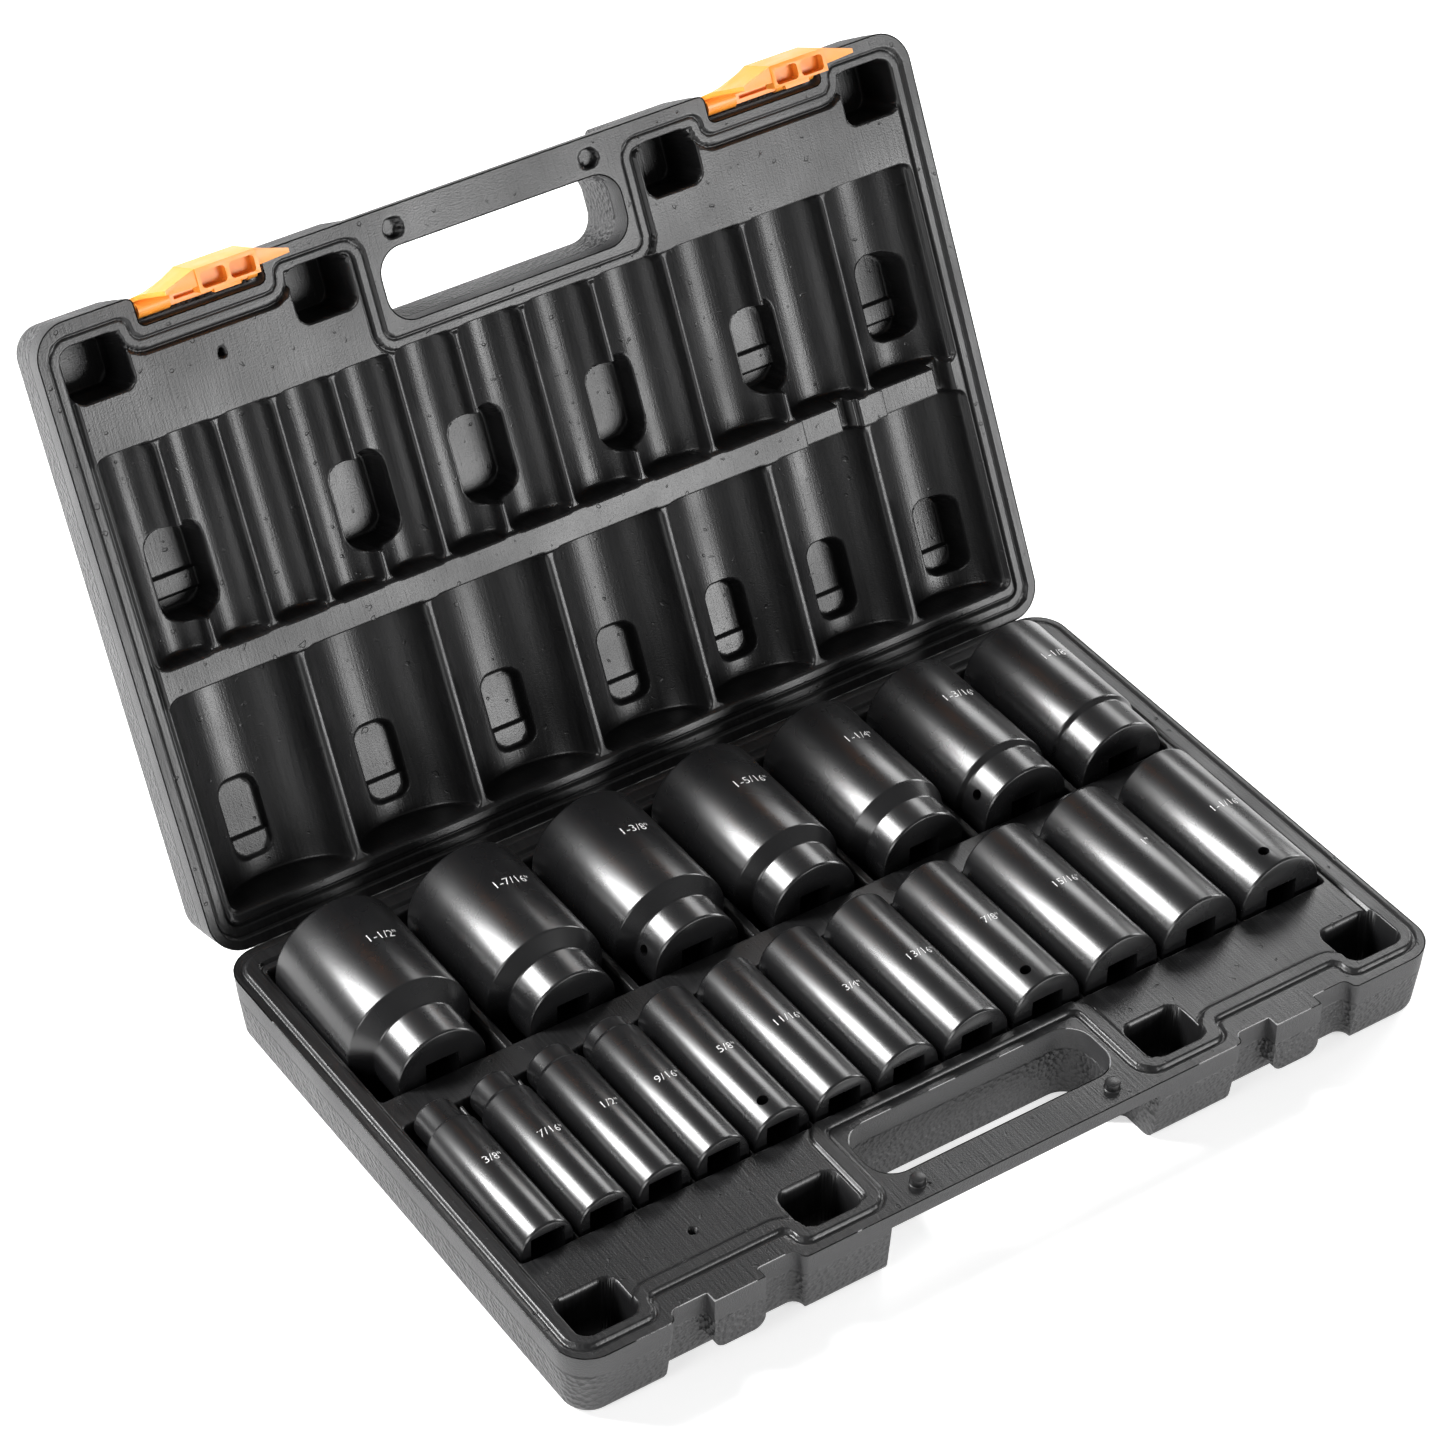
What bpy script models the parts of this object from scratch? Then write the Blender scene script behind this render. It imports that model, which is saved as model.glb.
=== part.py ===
"""Deep impact socket set in a moulded carry case with a hinged lid and two latches.

Frame: origin at the centre of the base's flat underside, +X along the case,
+Y towards the hinge, +Z up. Sizes are in millimetres here and scaled by MM.
"""

import math

import bmesh
import bpy
from mathutils import Vector

MM = 0.001
INCH = 25.4

# Cutters run this far past the face that they open
CUT = 5.0

# Limits on the corner radii that an inset may leave
SMALLEST_R = 0.5
LARGEST_INNER_R = 4.5
LARGE_R = 8.0

# Sides of round pieces
SOCKET_SIDES = 24
CRADLE_SIDES = 32
BORE_SIDES = 16
PIN_SIDES = 16
HOLE_SIDES = 12

# Case
WIDTH = 386.0
DEPTH = 248.0
HALF_HEIGHT = 32.0
RIM_GAP = 0.3
CORNER_R = 14.0
EDGE_R = 6.0
DRAFT_UPPER = 0.8
DRAFT_TOTAL = 2.6
UPPER_BAND = 10.0

# Latch bays in the front edge
BAY_X = 124.7
BAY_WIDTH = 52.4
BAY_DEPTH = 5.2
PIVOT_BAY_DEPTH = 11.5
PIVOT_BAY_TOP = 44.5
PIVOT_BAY_HALF = 25.9
BAY_OUTER_R = 3.0
BAY_INNER_R = 2.6
CATCH_WIDTH = 21.5
CATCH_HEIGHT = 24.0
CATCH_R = 5.0
CATCH_Y = (-123.7, -112.0)

# Handle
HANDLE_HALF = 53.2
HANDLE_FRONT = -108.6
HANDLE_BACK = -80.2
HANDLE_R = 10.5
BAR_THICKNESS = 7.0
BAR_UNDERCUT_HALF = 60.0
PIN_X = 43.5
PIN_Y = -115.7
PIN_R = 3.0
PIN_HEIGHT = 3.0
PIN_ROOT = 2.0
PIN_HOLE_R = 3.75
PIN_HOLE_DEPTH = 3.5

# Storage pockets and the moulding's blow hole
POCKET_X = (-170.9, -77.3, 77.3, 170.9)
POCKET_Y = -103.0
POCKET_SIZE = (24.5, 21.0)
POCKET_R = 5.0
POCKET_FLOOR = 7.0
BLOW_HOLE = (-123.0, -91.0)
BLOW_HOLE_R = 2.0
BLOW_HOLE_DEPTH = 12.0

# Seal: a raised band on the base and a channel for it in the lid
SEAL_WIDTH = 5.5
SEAL_HEIGHT = 1.2
SEAL_ROOT = 0.5
SEAL_CLEARANCE = 0.4
CHANNEL_DEPTH = 1.5
SEAL_CORNER_R = 9.0
SEAL_HANDLE_R = 8.0
SEAL_BAY_R = 4.5
SEAL_SIDE = 188.5
SEAL_FRONT = 117.9
SEAL_BACK = 119.3
SEAL_BAY_HALF = 30.0
SEAL_BAY_FRONT = 108.2
SEAL_HANDLE_HALF = 57.3
SEAL_HANDLE_BACK = 75.5

# Trays
TRAY_LEFT = -181.2
TRAY_RIGHT = 179.8
FRONT_TRAY = (-71.05, 9.8)
BACK_TRAY = (25.4, 109.5)
BACK_TRAY_LID = (24.0, 109.5)
CRADLE_GAP = 0.6
LID_CRADLE_GAP = 0.8
RIDGE_DROP = 2.0

# Sockets: nominal size in inches, outer diameter
SOCKET_LENGTH = 78.0
DRIVE_SQUARE = 12.9
DRIVE_DEPTH = 16.5
HEX_DEPTH = 38.0
HEX_CLEARANCE = 0.3
CHAMFER = 0.8
BORE_FLATS_LIMIT = 0.72
BORE_SHARE = 0.47
FRONT_ROW_Y = -69.3
BACK_ROW_Y = 26.4
FRONT_ROW_SPACE = 2.125
BACK_ROW_SPACE = 4.6
BACK_ROW_MARGIN = 0.6
FRONT_ROW = (
    ("3_8", 3 / 8, 22.0),
    ("7_16", 7 / 16, 22.5),
    ("1_2", 1 / 2, 22.5),
    ("9_16", 9 / 16, 23.0),
    ("5_8", 5 / 8, 24.0),
    ("11_16", 11 / 16, 25.5),
    ("3_4", 3 / 4, 27.5),
    ("13_16", 13 / 16, 29.5),
    ("7_8", 7 / 8, 31.0),
    ("15_16", 15 / 16, 34.5),
    ("1", 1.0, 36.0),
    ("1_1_16", 17 / 16, 37.5),
)
BACK_ROW = (
    ("1_1_2", 3 / 2, 52.5),
    ("1_7_16", 23 / 16, 51.0),
    ("1_3_8", 11 / 8, 50.0),
    ("1_5_16", 21 / 16, 48.0),
    ("1_1_4", 5 / 4, 45.0),
    ("1_3_16", 19 / 16, 43.5),
    ("1_1_8", 9 / 8, 42.0),
)
# Narrow neck at the drive end: diameter, length, length of the cone after it
DRIVE_NECKS = {
    "1_1_2": (38.0, 16.8, 6.7),
    "1_7_16": (38.0, 14.9, 4.9),
    "1_3_8": (38.0, 13.4, 5.5),
    "1_5_16": (38.0, 14.2, 5.1),
    "1_1_4": (38.0, 12.3, 6.5),
    "1_3_16": (39.5, 15.0, 2.0),
    "1_1_8": (39.0, 17.8, 1.5),
}
# Narrow nose at the hex end: diameter, length, length of the cone before it
HEX_NOSES = {
    "3_8": (17.2, 12.0, 2.5),
    "7_16": (18.6, 10.0, 2.5),
    "1_2": (19.6, 8.0, 2.0),
    "9_16": (20.8, 6.0, 1.5),
}

# Living hinge and the lid's opening
HINGE_Y = 124.2
HINGE_Z = 31.3
HINGE_STRIP_HALF = 178.0
HINGE_STRIP_Y = (124.32, 124.75)
HINGE_STRIP_Z = (30.9, 31.7)
LID_OPEN = math.radians(116.0)

# Latches, in the closed case: the pivot, then the plate that hangs from it
LATCH_HALF = 25.3
LATCH_PIVOT_Y = -118.2
LATCH_PIVOT_Z = 37.3
LATCH_BARREL_R = 3.6
LATCH_BARREL_HALF = 25.0
LATCH_TRUNNION_R = 1.8
LATCH_TRUNNION_ROOT = 22.3
LATCH_TRUNNION_HALF = 28.2
LATCH_HOLE_R = 2.3
LATCH_HOLE_HALF = 29.0
LATCH_FOOT_Z = 0.6
GRIP_HALF = 12.4
GRIP_WALL = 1.4
GRIP_WEB_HALF = 0.8
GRIP_FRONT_WALL = 1.8
GRIP_FRONT_Y = -131.6
WINDOW_HALF = 11.9
WINDOW_Y = (-124.4, -119.0)
WINDOW_TOP = 32.5
HOOK_Z = (4.7, 7.6)
HOOK_ROOT_Y = -123.5
HOOK_TIP_Y = -120.4
HOOK_HALF = 5.4


def clear_scene():
    for item in list(bpy.data.objects):
        bpy.data.objects.remove(item, do_unlink=True)


def make_material(name, colour, roughness, metallic):
    material = bpy.data.materials.new(name)
    material.use_nodes = True
    shader = material.node_tree.nodes["Principled BSDF"]
    shader.inputs["Base Color"].default_value = (*colour, 1.0)
    shader.inputs["Roughness"].default_value = roughness
    shader.inputs["Metallic"].default_value = metallic
    material.diffuse_color = (*colour, 1.0)
    return material


def case_material(name):
    return make_material(name, (0.02, 0.02, 0.022), 0.45, 0.0)


def latch_material(name):
    return make_material(name, (1.0, 0.35, 0.04), 0.35, 0.0)


def socket_material(name):
    return make_material(name, (0.025, 0.025, 0.028), 0.22, 0.6)


def arc(centre, radius, start, end, steps):
    """Points round an arc from start to end, in radians, both ends included."""
    points = []
    for i in range(steps + 1):
        angle = start + (end - start) * i / steps
        points.append((centre[0] + radius * math.cos(angle), centre[1] + radius * math.sin(angle)))
    return points


def rounded_outline(corners, inset=0.0):
    """Anticlockwise outline with square corners (x, y, radius), moved inwards by inset."""
    outline = []
    count = len(corners)
    for i, (x, y, radius) in enumerate(corners):
        before = Vector((x - corners[i - 1][0], y - corners[i - 1][1])).normalized()
        after_corner = corners[(i + 1) % count]
        after = Vector((after_corner[0] - x, after_corner[1] - y)).normalized()
        left_before = Vector((-before.y, before.x))
        left_after = Vector((-after.y, after.x))
        corner = Vector((x, y)) + (left_before + left_after) * inset
        steps = 5 if radius > LARGE_R else 3
        if before.cross(after) > 0.0:
            r = max(radius - inset, SMALLEST_R)
            centre = corner - before * r + left_before * r
            start = math.atan2(-left_before.y, -left_before.x)
            outline += arc(centre, r, start, start + math.pi / 2, steps)
        else:
            r = min(radius + inset, LARGEST_INNER_R)
            centre = corner - before * r - left_before * r
            start = math.atan2(left_before.y, left_before.x)
            outline += arc(centre, r, start, start - math.pi / 2, steps)
    return outline


def mirrored(half):
    """Closes an outline whose right half is given from the front's middle to the back's."""
    return half + [(-x, y, r) for x, y, r in reversed(half)]


def rectangle(x0, x1, y0, y1, radius):
    return [(x0, y0, radius), (x1, y0, radius), (x1, y1, radius), (x0, y1, radius)]


def case_corners(bay_depth):
    bay_in = BAY_X - BAY_WIDTH / 2
    bay_out = BAY_X + BAY_WIDTH / 2
    front = -DEPTH / 2
    return mirrored([
        (bay_in, front, BAY_OUTER_R),
        (bay_in, front + bay_depth, BAY_INNER_R),
        (bay_out, front + bay_depth, BAY_INNER_R),
        (bay_out, front, BAY_OUTER_R),
        (WIDTH / 2, front, CORNER_R),
        (WIDTH / 2, -front, CORNER_R),
    ])


def seal_corners():
    return mirrored([
        (SEAL_HANDLE_HALF, -SEAL_HANDLE_BACK, SEAL_HANDLE_R),
        (SEAL_HANDLE_HALF, -SEAL_FRONT, SEAL_HANDLE_R),
        (BAY_X - SEAL_BAY_HALF, -SEAL_FRONT, SEAL_BAY_R),
        (BAY_X - SEAL_BAY_HALF, -SEAL_BAY_FRONT, SEAL_BAY_R),
        (BAY_X + SEAL_BAY_HALF, -SEAL_BAY_FRONT, SEAL_BAY_R),
        (BAY_X + SEAL_BAY_HALF, -SEAL_FRONT, SEAL_BAY_R),
        (SEAL_SIDE, -SEAL_FRONT, SEAL_CORNER_R),
        (SEAL_SIDE, SEAL_BACK, SEAL_CORNER_R),
    ])


def add_object(name, bm, material=None, origin=(0.0, 0.0, 0.0)):
    """Makes an object from a bmesh in millimetres, with its origin at the given point."""
    bmesh.ops.translate(bm, vec=-Vector(origin), verts=bm.verts)
    bmesh.ops.scale(bm, vec=(MM, MM, MM), verts=bm.verts)
    bmesh.ops.recalc_face_normals(bm, faces=bm.faces)
    mesh = bpy.data.meshes.new(name)
    bm.to_mesh(mesh)
    bm.free()
    item = bpy.data.objects.new(name, mesh)
    item.location = Vector(origin) * MM
    bpy.context.scene.collection.objects.link(item)
    if material is not None:
        mesh.materials.append(material)
    return item


def add_loft(bm, loops, closed=False):
    """Joins loops of equal length with faces; an open stack gets a cap at each end."""
    rings = [[bm.verts.new(point) for point in loop] for loop in loops]
    pairs = list(zip(rings, rings[1:]))
    if closed:
        pairs.append((rings[-1], rings[0]))
    for low, high in pairs:
        for i in range(len(low)):
            j = (i + 1) % len(low)
            bm.faces.new((low[i], low[j], high[j], high[i]))
    if not closed:
        bm.faces.new(list(reversed(rings[0])))
        bm.faces.new(rings[-1])


def add_prism(bm, outline, z0, z1):
    add_loft(bm, [[(x, y, z) for x, y in outline] for z in (z0, z1)])


def add_prism_x(bm, profile, x0, x1):
    """Extrudes a profile of (y, z) points along X."""
    add_loft(bm, [[(x, y, z) for y, z in profile] for x in (x0, x1)])


def add_prism_y(bm, profile, y0, y1):
    """Extrudes a profile of (x, z) points along Y."""
    add_loft(bm, [[(x, y, z) for x, z in profile] for y in (y0, y1)])


def add_box(bm, x, y, z):
    add_prism(bm, [(x[0], y[0]), (x[1], y[0]), (x[1], y[1]), (x[0], y[1])], z[0], z[1])


def circle(centre, radius, segments):
    return arc(centre, radius, 0.0, math.tau * (1 - 1 / segments), segments - 1)


def add_tool(name, bm, target, operation):
    """Makes a hidden tool object and joins it to the target's stack as a Boolean."""
    tool = add_object(name, bm)
    tool.hide_render = True
    tool.display_type = "WIRE"
    modifier = target.modifiers.new(name, "BOOLEAN")
    modifier.operation = operation
    modifier.solver = "EXACT"
    modifier.object = tool
    return tool


def shell_loops(corners):
    """Outlines of a case half from its outer face (z = 0) up to the rim."""
    levels = []
    for i in range(4):
        angle = math.radians(90.0 - 30.0 * i)
        levels.append((DRAFT_TOTAL + EDGE_R * (1 - math.cos(angle)), EDGE_R * (1 - math.sin(angle))))
    levels.append((DRAFT_UPPER, HALF_HEIGHT - UPPER_BAND))
    levels.append((0.0, HALF_HEIGHT))
    return [[(x, y, z) for x, y in rounded_outline(corners, inset)] for inset, z in levels]


def row_positions():
    """Centre X of each socket, by name."""
    places = {}
    x = TRAY_LEFT
    for name, _, diameter in FRONT_ROW:
        places[name] = x + (diameter + FRONT_ROW_SPACE) / 2
        x += diameter + FRONT_ROW_SPACE
    x = TRAY_LEFT + BACK_ROW_MARGIN
    for name, _, diameter in BACK_ROW:
        places[name] = x + diameter / 2
        x += diameter + BACK_ROW_SPACE
    return places


def add_cradles(bm, gap, back_tray, axis_z):
    places = row_positions()
    for row, (y0, y1) in ((FRONT_ROW, FRONT_TRAY), (BACK_ROW, back_tray)):
        for name, _, diameter in row:
            centre = (places[name], axis_z)
            add_prism_y(bm, circle(centre, diameter / 2 + gap, CRADLE_SIDES), y0, y1)


def add_pockets(bm, floor, top):
    half_x = POCKET_SIZE[0] / 2
    half_y = POCKET_SIZE[1] / 2
    for x in POCKET_X:
        corners = rectangle(x - half_x, x + half_x, POCKET_Y - half_y, POCKET_Y + half_y, POCKET_R)
        add_prism(bm, rounded_outline(corners), floor, top)


def add_seal_ring(bm, clearance, z0, z1):
    outer = rounded_outline(seal_corners(), -clearance)
    inner = rounded_outline(seal_corners(), SEAL_WIDTH + clearance)
    loops = []
    for outline, z in ((outer, z0), (inner, z0), (inner, z1), (outer, z1)):
        loops.append([(x, y, z) for x, y in outline])
    add_loft(bm, loops, closed=True)


def handle_outline():
    return rounded_outline(rectangle(-HANDLE_HALF, HANDLE_HALF, HANDLE_FRONT, HANDLE_BACK, HANDLE_R))


def catch_profile(centre_x):
    """Front view of a catch: square at the rim, with rounded lower corners."""
    left = centre_x - CATCH_WIDTH / 2
    right = centre_x + CATCH_WIDTH / 2
    bottom = HALF_HEIGHT - CATCH_HEIGHT
    r = CATCH_R
    profile = [(left, HALF_HEIGHT)]
    profile += arc((left + r, bottom + r), r, math.pi, 1.5 * math.pi, 4)
    profile += arc((right - r, bottom + r), r, 1.5 * math.pi, 2 * math.pi, 4)
    profile.append((right, HALF_HEIGHT))
    return profile


def build_base():
    bm = bmesh.new()
    add_loft(bm, shell_loops(case_corners(BAY_DEPTH)))
    base = add_object("case_base", bm, case_material("case_base"))

    bm = bmesh.new()
    add_cradles(bm, CRADLE_GAP, BACK_TRAY, HALF_HEIGHT)
    add_tool("base_cradles", bm, base, "DIFFERENCE")

    bm = bmesh.new()
    for y0, y1 in (FRONT_TRAY, BACK_TRAY):
        add_box(bm, (TRAY_LEFT, TRAY_RIGHT), (y0, y1), (HALF_HEIGHT - RIDGE_DROP, HALF_HEIGHT + CUT))
    add_tool("base_trays", bm, base, "DIFFERENCE")

    bm = bmesh.new()
    add_pockets(bm, POCKET_FLOOR, HALF_HEIGHT + CUT)
    add_prism(bm, handle_outline(), -CUT, HALF_HEIGHT + CUT)
    blow_hole = circle(BLOW_HOLE, BLOW_HOLE_R, HOLE_SIDES)
    add_prism(bm, blow_hole, HALF_HEIGHT - BLOW_HOLE_DEPTH, HALF_HEIGHT + CUT)
    add_tool("base_openings", bm, base, "DIFFERENCE")

    bm = bmesh.new()
    bar_bottom = HALF_HEIGHT - BAR_THICKNESS
    half = BAR_UNDERCUT_HALF
    add_box(bm, (-half, half), (-DEPTH / 2 - CUT, HANDLE_FRONT + CUT), (-CUT, bar_bottom))
    add_tool("base_undercut", bm, base, "DIFFERENCE")

    bm = bmesh.new()
    for side in (-1, 1):
        add_prism_y(bm, catch_profile(side * BAY_X), *CATCH_Y)
    add_tool("base_catches", bm, base, "UNION")

    bm = bmesh.new()
    add_seal_ring(bm, 0.0, HALF_HEIGHT - SEAL_ROOT, HALF_HEIGHT + SEAL_HEIGHT)
    for side in (-1, 1):
        pin = circle((side * PIN_X, PIN_Y), PIN_R, PIN_SIDES)
        add_prism(bm, pin, HALF_HEIGHT - PIN_ROOT, HALF_HEIGHT + PIN_HEIGHT)
    add_tool("base_raised", bm, base, "UNION")
    return base


def build_lid():
    """The lid is modelled shut, upside down over the base, then turned open about the hinge."""
    rim = HALF_HEIGHT + RIM_GAP
    top = rim + HALF_HEIGHT
    origin = (0.0, HINGE_Y, HINGE_Z)
    bm = bmesh.new()
    loops = [[(x, y, top - z) for x, y, z in loop] for loop in shell_loops(case_corners(BAY_DEPTH))]
    add_loft(bm, loops)
    lid = add_object("case_lid", bm, case_material("case_lid"), origin)

    tools = []
    bm = bmesh.new()
    add_cradles(bm, LID_CRADLE_GAP, BACK_TRAY_LID, HALF_HEIGHT)
    tools.append(add_tool("lid_cradles", bm, lid, "DIFFERENCE"))

    bm = bmesh.new()
    for y0, y1 in (FRONT_TRAY, BACK_TRAY_LID):
        add_box(bm, (TRAY_LEFT, TRAY_RIGHT), (y0, y1), (rim - CUT, rim + RIDGE_DROP))
    tools.append(add_tool("lid_trays", bm, lid, "DIFFERENCE"))

    bm = bmesh.new()
    add_pockets(bm, rim - CUT, top - POCKET_FLOOR)
    add_prism(bm, handle_outline(), rim - CUT, top + CUT)
    blow_hole = circle(BLOW_HOLE, BLOW_HOLE_R, HOLE_SIDES)
    add_prism(bm, blow_hole, rim - CUT, rim + BLOW_HOLE_DEPTH)
    for side in (-1, 1):
        pin_hole = circle((side * PIN_X, PIN_Y), PIN_HOLE_R, PIN_SIDES)
        add_prism(bm, pin_hole, rim - CUT, rim + PIN_HOLE_DEPTH)
        hole = circle((LATCH_PIVOT_Y, LATCH_PIVOT_Z), LATCH_HOLE_R, HOLE_SIDES)
        add_prism_x(bm, hole, side * BAY_X - LATCH_HOLE_HALF, side * BAY_X + LATCH_HOLE_HALF)
    tools.append(add_tool("lid_openings", bm, lid, "DIFFERENCE"))

    bm = bmesh.new()
    for side in (-1, 1):
        bay_x = (side * BAY_X - PIVOT_BAY_HALF, side * BAY_X + PIVOT_BAY_HALF)
        add_box(bm, bay_x, (-DEPTH / 2 - CUT, -DEPTH / 2 + PIVOT_BAY_DEPTH), (rim - CUT, PIVOT_BAY_TOP))
    tools.append(add_tool("lid_pivot_bays", bm, lid, "DIFFERENCE"))

    bm = bmesh.new()
    bar_bottom = rim + BAR_THICKNESS
    half = BAR_UNDERCUT_HALF
    add_box(bm, (-half, half), (-DEPTH / 2 - CUT, HANDLE_FRONT + CUT), (bar_bottom, top + CUT))
    tools.append(add_tool("lid_undercut", bm, lid, "DIFFERENCE"))

    bm = bmesh.new()
    add_seal_ring(bm, SEAL_CLEARANCE, rim - CUT, rim + CHANNEL_DEPTH)
    tools.append(add_tool("lid_channel", bm, lid, "DIFFERENCE"))
    return lid, tools


def latch_wing_profile():
    """Section of a latch beside its grip: a plate sloping outwards from the pivot."""
    return [
        (-119.0, 40.6), (-122.4, 40.6), (-123.4, 32.0), (-127.6, 1.2),
        (-125.9, 1.2), (-121.2, 31.0), (-119.0, 36.0),
    ]


def latch_grip_profile():
    """Section of the grip's side wall, which bulges over the catch."""
    return [
        (-119.4, 36.0), (-119.4, 40.8), (-122.8, 40.8), (-125.6, 32.0),
        (GRIP_FRONT_Y, 20.0), (GRIP_FRONT_Y, LATCH_FOOT_Z), (-122.6, LATCH_FOOT_Z),
        (-122.6, HOOK_Z[1] - 0.6), (-124.5, HOOK_Z[1]), (-124.5, 33.0), (-121.4, 36.0),
    ]


def build_latch(name, centre_x, lid):
    origin = (centre_x, LATCH_PIVOT_Y, LATCH_PIVOT_Z)
    bm = bmesh.new()
    add_prism_x(bm, latch_wing_profile(), centre_x - LATCH_HALF, centre_x + LATCH_HALF)
    latch = add_object(name, bm, latch_material(name), origin)

    bm = bmesh.new()
    barrel = circle((LATCH_PIVOT_Y, LATCH_PIVOT_Z), LATCH_BARREL_R, PIN_SIDES)
    add_prism_x(bm, barrel, centre_x - LATCH_BARREL_HALF, centre_x + LATCH_BARREL_HALF)
    tools = [add_tool(name + "_barrel", bm, latch, "UNION")]

    bm = bmesh.new()
    add_box(bm, (centre_x - WINDOW_HALF, centre_x + WINDOW_HALF), WINDOW_Y, (-CUT, WINDOW_TOP))
    tools.append(add_tool(name + "_window", bm, latch, "DIFFERENCE"))

    bm = bmesh.new()
    add_prism_x(bm, latch_grip_profile(), centre_x - GRIP_HALF, centre_x + GRIP_HALF)
    tools.append(add_tool(name + "_grip", bm, latch, "UNION"))

    inner = GRIP_HALF - GRIP_WALL
    front = GRIP_FRONT_Y + GRIP_FRONT_WALL
    bm = bmesh.new()
    for side in (-1, 1):
        x = sorted((centre_x + side * GRIP_WEB_HALF, centre_x + side * inner))
        add_box(bm, x, (front, CATCH_Y[1]), (-CUT, HOOK_Z[0]))
    tools.append(add_tool(name + "_hollow", bm, latch, "DIFFERENCE"))

    bm = bmesh.new()
    hook_x = (centre_x - HOOK_HALF, centre_x + HOOK_HALF)
    add_box(bm, hook_x, (HOOK_ROOT_Y, HOOK_TIP_Y), HOOK_Z)
    trunnion = circle((LATCH_PIVOT_Y, LATCH_PIVOT_Z), LATCH_TRUNNION_R, HOLE_SIDES)
    for side in (-1, 1):
        x = sorted((centre_x + side * LATCH_TRUNNION_ROOT, centre_x + side * LATCH_TRUNNION_HALF))
        add_prism_x(bm, trunnion, x[0], x[1])
    tools.append(add_tool(name + "_hook", bm, latch, "UNION"))

    for item in [latch] + tools:
        parent_shut(item, lid)
    return latch


def parent_shut(item, lid):
    """Parents an item to the lid while the lid is still shut."""
    item.parent = lid
    item.location = item.location - lid.location


def socket_profile(name, diameter):
    """Half section (y, radius) from the drive face at y = 0 to the hex end."""
    r = diameter / 2
    profile = []
    if name in DRIVE_NECKS:
        neck, length, cone = DRIVE_NECKS[name]
        profile += [(0.0, neck / 2 - CHAMFER), (CHAMFER, neck / 2), (length, neck / 2), (length + cone, r)]
    else:
        profile += [(0.0, r - CHAMFER), (CHAMFER, r)]
    if name in HEX_NOSES:
        nose, length, cone = HEX_NOSES[name]
        start = SOCKET_LENGTH - length
        profile += [(start - cone, r), (start, nose / 2), (SOCKET_LENGTH - CHAMFER, nose / 2)]
        profile.append((SOCKET_LENGTH, nose / 2 - CHAMFER))
    else:
        profile += [(SOCKET_LENGTH - CHAMFER, r), (SOCKET_LENGTH, r - CHAMFER)]
    return profile


def build_socket(name, size, diameter, x, y):
    """A turned body lying along Y, cut by a square drive, a bore and a hexagon."""
    origin = (x, y, HALF_HEIGHT)
    bm = bmesh.new()
    loops = []
    for along, radius in socket_profile(name, diameter):
        ring = circle((x, HALF_HEIGHT), radius, SOCKET_SIDES)
        loops.append([(px, y + along, pz) for px, pz in ring])
    add_loft(bm, loops)
    title = "socket_" + name + "_inch"
    socket = add_object(title, bm, socket_material(title), origin)
    socket.data.shade_smooth()
    socket.data.set_sharp_from_angle(angle=math.radians(35.0))

    flats = size * INCH + HEX_CLEARANCE
    bore = min(flats, diameter * BORE_FLATS_LIMIT) * BORE_SHARE
    centre = (x, HALF_HEIGHT)
    half = DRIVE_SQUARE / 2
    square = [(x + sx * half, HALF_HEIGHT + sz * half) for sx, sz in ((-1, -1), (1, -1), (1, 1), (-1, 1))]
    hexagon = circle(centre, flats / math.sqrt(3), 6)
    end = y + SOCKET_LENGTH
    for part, profile, y0, y1 in (
        ("drive", square, y - CUT, y + DRIVE_DEPTH),
        ("bore", circle(centre, bore, BORE_SIDES), y + DRIVE_DEPTH - 1.0, end - HEX_DEPTH + 1.0),
        ("hexagon", hexagon, end - HEX_DEPTH, end + CUT),
    ):
        bm = bmesh.new()
        add_prism_y(bm, profile, y0, y1)
        add_tool(title + "_" + part, bm, socket, "DIFFERENCE")
    return socket


def build_hinge():
    bm = bmesh.new()
    half = HINGE_STRIP_HALF
    add_box(bm, (-half, half), HINGE_STRIP_Y, HINGE_STRIP_Z)
    return add_object("living_hinge", bm, case_material("living_hinge"))


def main():
    clear_scene()
    build_base()
    build_hinge()
    lid, lid_tools = build_lid()
    for tool in lid_tools:
        parent_shut(tool, lid)
    build_latch("latch_left", -BAY_X, lid)
    build_latch("latch_right", BAY_X, lid)
    places = row_positions()
    for row, y in ((FRONT_ROW, FRONT_ROW_Y), (BACK_ROW, BACK_ROW_Y)):
        for name, size, diameter in row:
            build_socket(name, size, diameter, places[name], y)
    lid.rotation_euler.x = -LID_OPEN


main()
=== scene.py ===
"""Looks of the socket set: fine shells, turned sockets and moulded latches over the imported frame."""

import math

import bmesh
import bpy
import numpy as np
from mathutils import Matrix, Vector


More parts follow.
